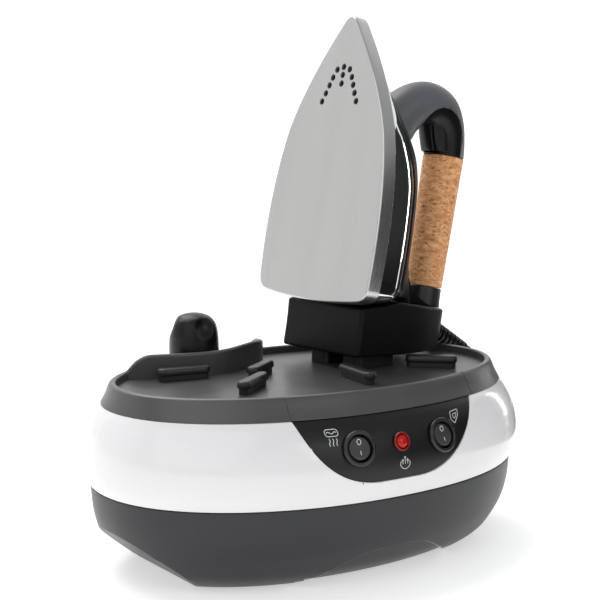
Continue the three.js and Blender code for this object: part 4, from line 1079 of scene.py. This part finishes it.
platform_heights = [6 + 172 * k / 60 for k in range(61)]
platform = mesh_piece("platform_look", loft([platform_ring(z) for z in platform_heights]),
                      IRON_MATRIX)
flare_curve = bezier((72.4, 34), [((75, 20), (84, 9.5), (106, 6))], 16)
flare = [(60, 40), *flare_curve, (60, 6)]
carve(platform, prism(flare, -18, 18, across_y), operation="UNION")


def sunk_disc(radius, start, depth, z):
    """A cylinder along X, at a height."""
    turn = spin(90, "Y")
    return moved(rod(radius, 0, depth, 56), shift(start, 0, z) @ turn)


DIAL_HEIGHT, DIAL_DEPTH = 60, 73.28
carve(
    platform,
    moved(rod(CORK_RADII[0] + GAP, -20, 60), shift(HANDLE_X, 0, 0)),
    sunk_disc(3.3, DIAL_DEPTH - 10, 30, DIAL_HEIGHT),
    sunk_disc(14.5, DIAL_DEPTH - 1.3, 30, DIAL_HEIGHT),
)
round_edges(platform, 0.5, angle=40)
settle(platform, "iron", "black", ["platform"])

# ---- iron: handle arch in two mouldings ----
ARCH = [
    # depth, height, radius in the plane of the arch, radius across it
    (HANDLE_X, CORK_TOP + GAP, 15, 15), (HANDLE_X - 1, 127, 14.6, 15), (104.7, 139, 15.2, 15),
    (97, 148, 16.3, 15.2), (84, 151, 16.4, 15.4), (70, 147, 16.2, 15.6), (59, 138, 17, 15.8),
    (52, 128, 18, 16), (46, 116, 18, 16),
]
arch_line = spline([row[:2] for row in ARCH], 6)
arch_sizes = spline([row[2:] for row in ARCH], 6)


def arch_ring(i, sides=48):
    ahead = ahead_at(arch_line, i).normalized() if i else Vector((0, 1))
    outward = Vector((ahead.y, -ahead.x))
    middle, (in_plane, across) = arch_line[i], arch_sizes[i]
    ring = []
    for angle in circle_angles(sides):
        away = in_plane * cos(angle)
        ring.append((middle.x + outward.x * away, across * sin(angle),
                     middle.y + outward.y * away))
    return ring


arch_shape = loft([arch_ring(i) for i in range(len(arch_line))])
SPLIT_X, SPLIT_Z, SPLIT_RADIUS = 92, 130, 19.5


def split_tool(grow):
    """A long slot's end, which parts the arch's hood from its insert."""
    radius = SPLIT_RADIUS + grow
    outline = [(SPLIT_X + radius * cos(a), SPLIT_Z + radius * sin(a))
               for a in (pi * k / 32 for k in range(33))]
    return prism([*outline, (SPLIT_X - radius, 88), (SPLIT_X + radius, 88)], -30, 30, across_y)


platform_clear = moved(loft([platform_ring(z) for z in platform_heights]),
                       shift(GAP, 0, 0))
trigger_pocket = box((72, -7, 118), (102, 7, 144))


def keep_biggest(piece):
    """Drops the small bodies that a cut leaves beside the main one."""
    work = bmesh.new()
    work.from_mesh(piece.data)
    left, bodies = set(work.verts), []
    while left:
        body, edge = set(), {left.pop()}
        while edge:
            body |= edge
            edge = {e.other_vert(v) for v in edge for e in v.link_edges} - body
        left -= body
        bodies.append(body)
    bodies.sort(key=len)
    for body in bodies[:-1]:
        bmesh.ops.delete(work, geom=list(body), context="VERTS")
    work.to_mesh(piece.data)
    work.free()


SWELL_X, SWELL_HALF, SWELL_LOW, SWELL_HIGH = 100, 12, 118.8, 142
SWELL_REACH, SWELL_WAIST = 17, 9


def swell(grow):
    """The insert's swelling towards the platform, on both sides of the trigger."""
    rings = []
    for share in (k / 24 for k in range(25)):
        reach = SWELL_REACH + grow - SWELL_WAIST * (1 - share) ** 1.5
        height = mix(SWELL_LOW - grow, SWELL_HIGH, share)
        rings.append([(SWELL_X + reach * cos(a), (SWELL_HALF + grow) * sin(a), height)
                      for a in circle_angles(64)])
    return loft(rings)


hood = mesh_piece("handle_hood_look", arch_shape, IRON_MATRIX)
carve(hood, split_tool(GAP / 2), platform_clear, trigger_pocket)
insert = mesh_piece("handle_insert_look", arch_shape, IRON_MATRIX)
carve(insert, swell(0), operation="UNION")
carve(insert, split_tool(-GAP / 2), operation="INTERSECT")
carve(insert, platform_clear, trigger_pocket)
for piece, finish, slot, name in (
    (hood, "grey", "grey_plastic", "handle_arch"),
    (insert, "black", "black_plastic", "handle_arch_insert"),
):
    keep_biggest(piece)
    round_edges(piece, 0.6, angle=40)
    settle(piece, "iron", finish, [name], angle=45)

# ---- iron: cork grip, ferrule, trigger and dial ----
cork_rows = [(7, CORK_BOTTOM), (CORK_RADII[0] - 0.9, CORK_BOTTOM),
             (CORK_RADII[0] - 0.25, CORK_BOTTOM + 0.3), (CORK_RADII[0], CORK_BOTTOM + 1)]
for k in range(1, 16):
    cork_rows.append((mix(*CORK_RADII, k / 16), mix(CORK_BOTTOM + 1, CORK_TOP - 1, k / 16)))
cork_rows += [(CORK_RADII[1], CORK_TOP - 1), (CORK_RADII[1] - 0.25, CORK_TOP - 0.3),
              (CORK_RADII[1] - 0.9, CORK_TOP), (7, CORK_TOP)]
grip_place = IRON_MATRIX @ Matrix.Translation(Vector((HANDLE_X, 0, 0)) * MM)
cork = mesh_piece("cork_look", lathe(cork_rows, 72), grip_place)
settle(cork, "iron", "cork", ["cork_grip"], angle=50)
ferrule = mesh_piece("ferrule_look", lathe([
    (7, 0), (14, 0), (13.6, 7), (13.3, 12), (13.2, 16), (13.2, 19.4), (12.7, 20.2), (7, 20.3),
], 64), grip_place)

trigger_outline = [
    (81, 142), (88, 142), *bezier((88, 142), [((90, 134.7), (92.3, 127.2), (95, 119.4))], 10)[1:],
    (91, 118.6), *bezier((91, 118.6), [((87.7, 122.2), (84.3, 129.7), (81, 142))], 10)[1:-1],
]
trigger = mesh_piece("trigger_look", prism(trigger_outline, -6.5, 6.5, across_y), IRON_MATRIX)
carve(trigger, swell(0.9), operation="INTERSECT")
round_edges(trigger, 0.5, angle=40)
settle(trigger, "trigger", "black", ["steam_trigger"])

dial_rows = [(0, -9), (3, -9), (3, -1), (13.4, -1), (14, -0.4), (14, 2.2), (13.2, 3.1),
             (11.5, 3.2), (11, 2.7), (0, 2.7)]
dial_matrix = (IRON_MATRIX @ Matrix.Translation(Vector((DIAL_DEPTH, 0, DIAL_HEIGHT)) * MM)
               @ spin(90, "Y"))
dial = mesh_piece("dial_look", lathe(dial_rows, 72), dial_matrix)
carve(dial, joined([
    moved(rod(0.7, -0.2, 5, 12), Matrix.Translation((
        14.35 * cos(a), 14.35 * sin(a), 0)))
    for a in circle_angles(36)
]))
settle(dial, "dial", "black", ["temperature_dial"], angle=30)
pointer = mesh_piece("dial_pointer", box((7, -0.5, 2.68), (10.6, 0.5, 2.85)), dial_matrix)
settle(pointer, "dial", "print")

# ---- iron: heel block and feet ----
heel_side = [
    (15, -2.6), (16.5, -36.4), (70, -29),
    *bezier((104, -23.5), [((116.7, -21.2), (123.5, -15.3), (124.5, -6))], 8),
    (125, 6.2), (106, 5.7), (52, 5.6), (42, 3.4), (33, 0.2),
]


def heel_plan():
    """The heel from above: two rounded corners at the sole and half an oval behind."""
    half, front, middle, reach, corner = HEEL_HALF_WIDTH, 14, 50, 73, 3
    back = [(middle + reach * cos(a), half * sin(a))
            for a in (-pi / 2 + pi * k / 48 for k in range(49))]
    near = rounded([(middle, half), (front, half), (front, -half), (middle, -half)],
                   [0.01, corner, corner, 0.01], 4)
    return [*near[5:15], *back]


heel = mesh_piece("heel_look", prism(heel_plan(), -60, 30, lambda u, v, w: (u, v, w)),
                  IRON_MATRIX)
carve(heel, prism(heel_side, -60, 60, across_y), operation="INTERSECT")
round_edges(heel, 2.2, segments=4, angle=35)
settle(heel, "iron", "heel", ["heel_block"], angle=50)
for i in (1, 2):
    name = f"heel_foot_{i}"
    foot = new_object(f"{name}_look", nodes[name].data.copy())
    round_edges(foot, 0.8, segments=3)
    settle(foot, "iron", "rubber", [name])

carve(ferrule, prism(heel_side, -60, 60, lambda u, v, w: (u - HANDLE_X, w, v + 0.2)))
settle(ferrule, "iron", "ferrule", ["rear_ferrule"])
boot_tool = [tuple(IRON_MATRIX @ v.co / MM) for v in heel.data.vertices]
carve(boot, (boot_tool, [tuple(f.vertices) for f in heel.data.polygons]))
settle(boot, "iron", "black", ["hose_boot"])

# ---- the CAD parts that stay, inside and underneath ----
KEPT = {
    "steel": [*[f"base_screw_{i}" for i in range(1, 5)], "boiler_tank", "boiler_heater",
              "boiler_pipe", "steam_pipe", "steam_chamber_cover",
              "sole_heater", "handle_core", "steam_inlet_pipe"],
    "brass": ["boiler_neck", "steam_valve", "sole_thermostat"],
    "black": ["pressure_switch", "trigger_microswitch"],
    "white": ["terminal_block", "iron_terminal_block"],
    "rubber": ["cap_gasket"],
}
for finish_name, names in KEPT.items():
    for name in names:
        give_finish(nodes[name], finish_name)

# ---- floor, backdrop and light ----
floor_material = surface("floor", (0.82, 0.82, 0.82), 0.7, 40, 0.01, tint=0.01)
glow = floor_material.node_tree.nodes["Principled BSDF"].inputs
glow["Emission Color"].default_value = (1, 1, 1, 1)
glow["Emission Strength"].default_value = 0.5
sweep_rows = [(-3, 0), (1.6, 0)] + [
    (1.6 + 0.9 * sin(a), 0.9 - 0.9 * cos(a))
    for a in (pi / 2 * k / 12 for k in range(1, 13))
] + [(2.5, 4)]
sweep_mesh = bpy.data.meshes.new("floor")
sweep_mesh.from_pydata(
    [(x, y, z) for y, z in sweep_rows for x in (-4, 4)], [],
    [(2 * k, 2 * k + 1, 2 * k + 3, 2 * k + 2) for k in range(len(sweep_rows) - 1)],
)
floor = new_object("floor", sweep_mesh)
floor.rotation_euler = (0, 0, radians(-35))
floor.data.materials.append(floor_material)
floor.data.shade_smooth()


def lamp(name, place, target, size, energy, shape_y=None):
    light = bpy.data.lights.new(name, "AREA")
    light.energy = energy
    light.size = size
    if shape_y:
        light.shape = "RECTANGLE"
        light.size_y = shape_y
    item = new_object(name, light)
    item.location = place
    way = Vector(target) - Vector(place)
    item.rotation_euler = way.to_track_quat("-Z", "Y").to_euler()


lamp("key", (-1.5, -0.9, 1.3), (0, 0, 0.15), 2.2, 11)
lamp("fill", (0.4, -1.9, 1.0), (0, 0, 0.12), 0.9, 4)
lamp("top", (-0.15, 0.85, 1.7), (0, 0, 0.1), 1.4, 22)
lamp("sole side", (-1.4, 1.3, 0.5), (0, 0, 0.25), 1.9, 4.5)
lamp("streak", (0.75, 0.05, 0.22), (0.05, 0, 0.22), 0.035, 0.25, 0.3)


def card(name, corners):
    """A dark board, seen only in reflections, which gives the bright metal its contrast."""
    mesh = bpy.data.meshes.new(name)
    mesh.from_pydata(corners, [], [(0, 1, 2, 3)])
    board = new_object(name, mesh)
    board.data.materials.append(FINISH["panel"])
    board.visible_camera = board.visible_diffuse = board.visible_shadow = False


card("dark card right", [(0.8, -1.5, 0), (0.8, 0.02, 0), (0.8, 0.02, 0.46), (0.8, -1.5, 0.46)])
card("dark card back", [(0.8, 0.07, 0), (0.8, 0.4, 0), (0.8, 0.4, 0.46), (0.8, 0.07, 0.46)])
card("dark card floor", [(0.4, -1.5, 0.002), (0.8, -1.5, 0.002), (0.8, 0.3, 0.002),
                         (0.4, 0.3, 0.002)])
world = bpy.data.worlds.new("studio")
scene.world = world
world.use_nodes = True
sky = world.node_tree.nodes["Background"].inputs
sky["Color"].default_value = (0.95, 0.97, 1, 1)
sky["Strength"].default_value = 0.4
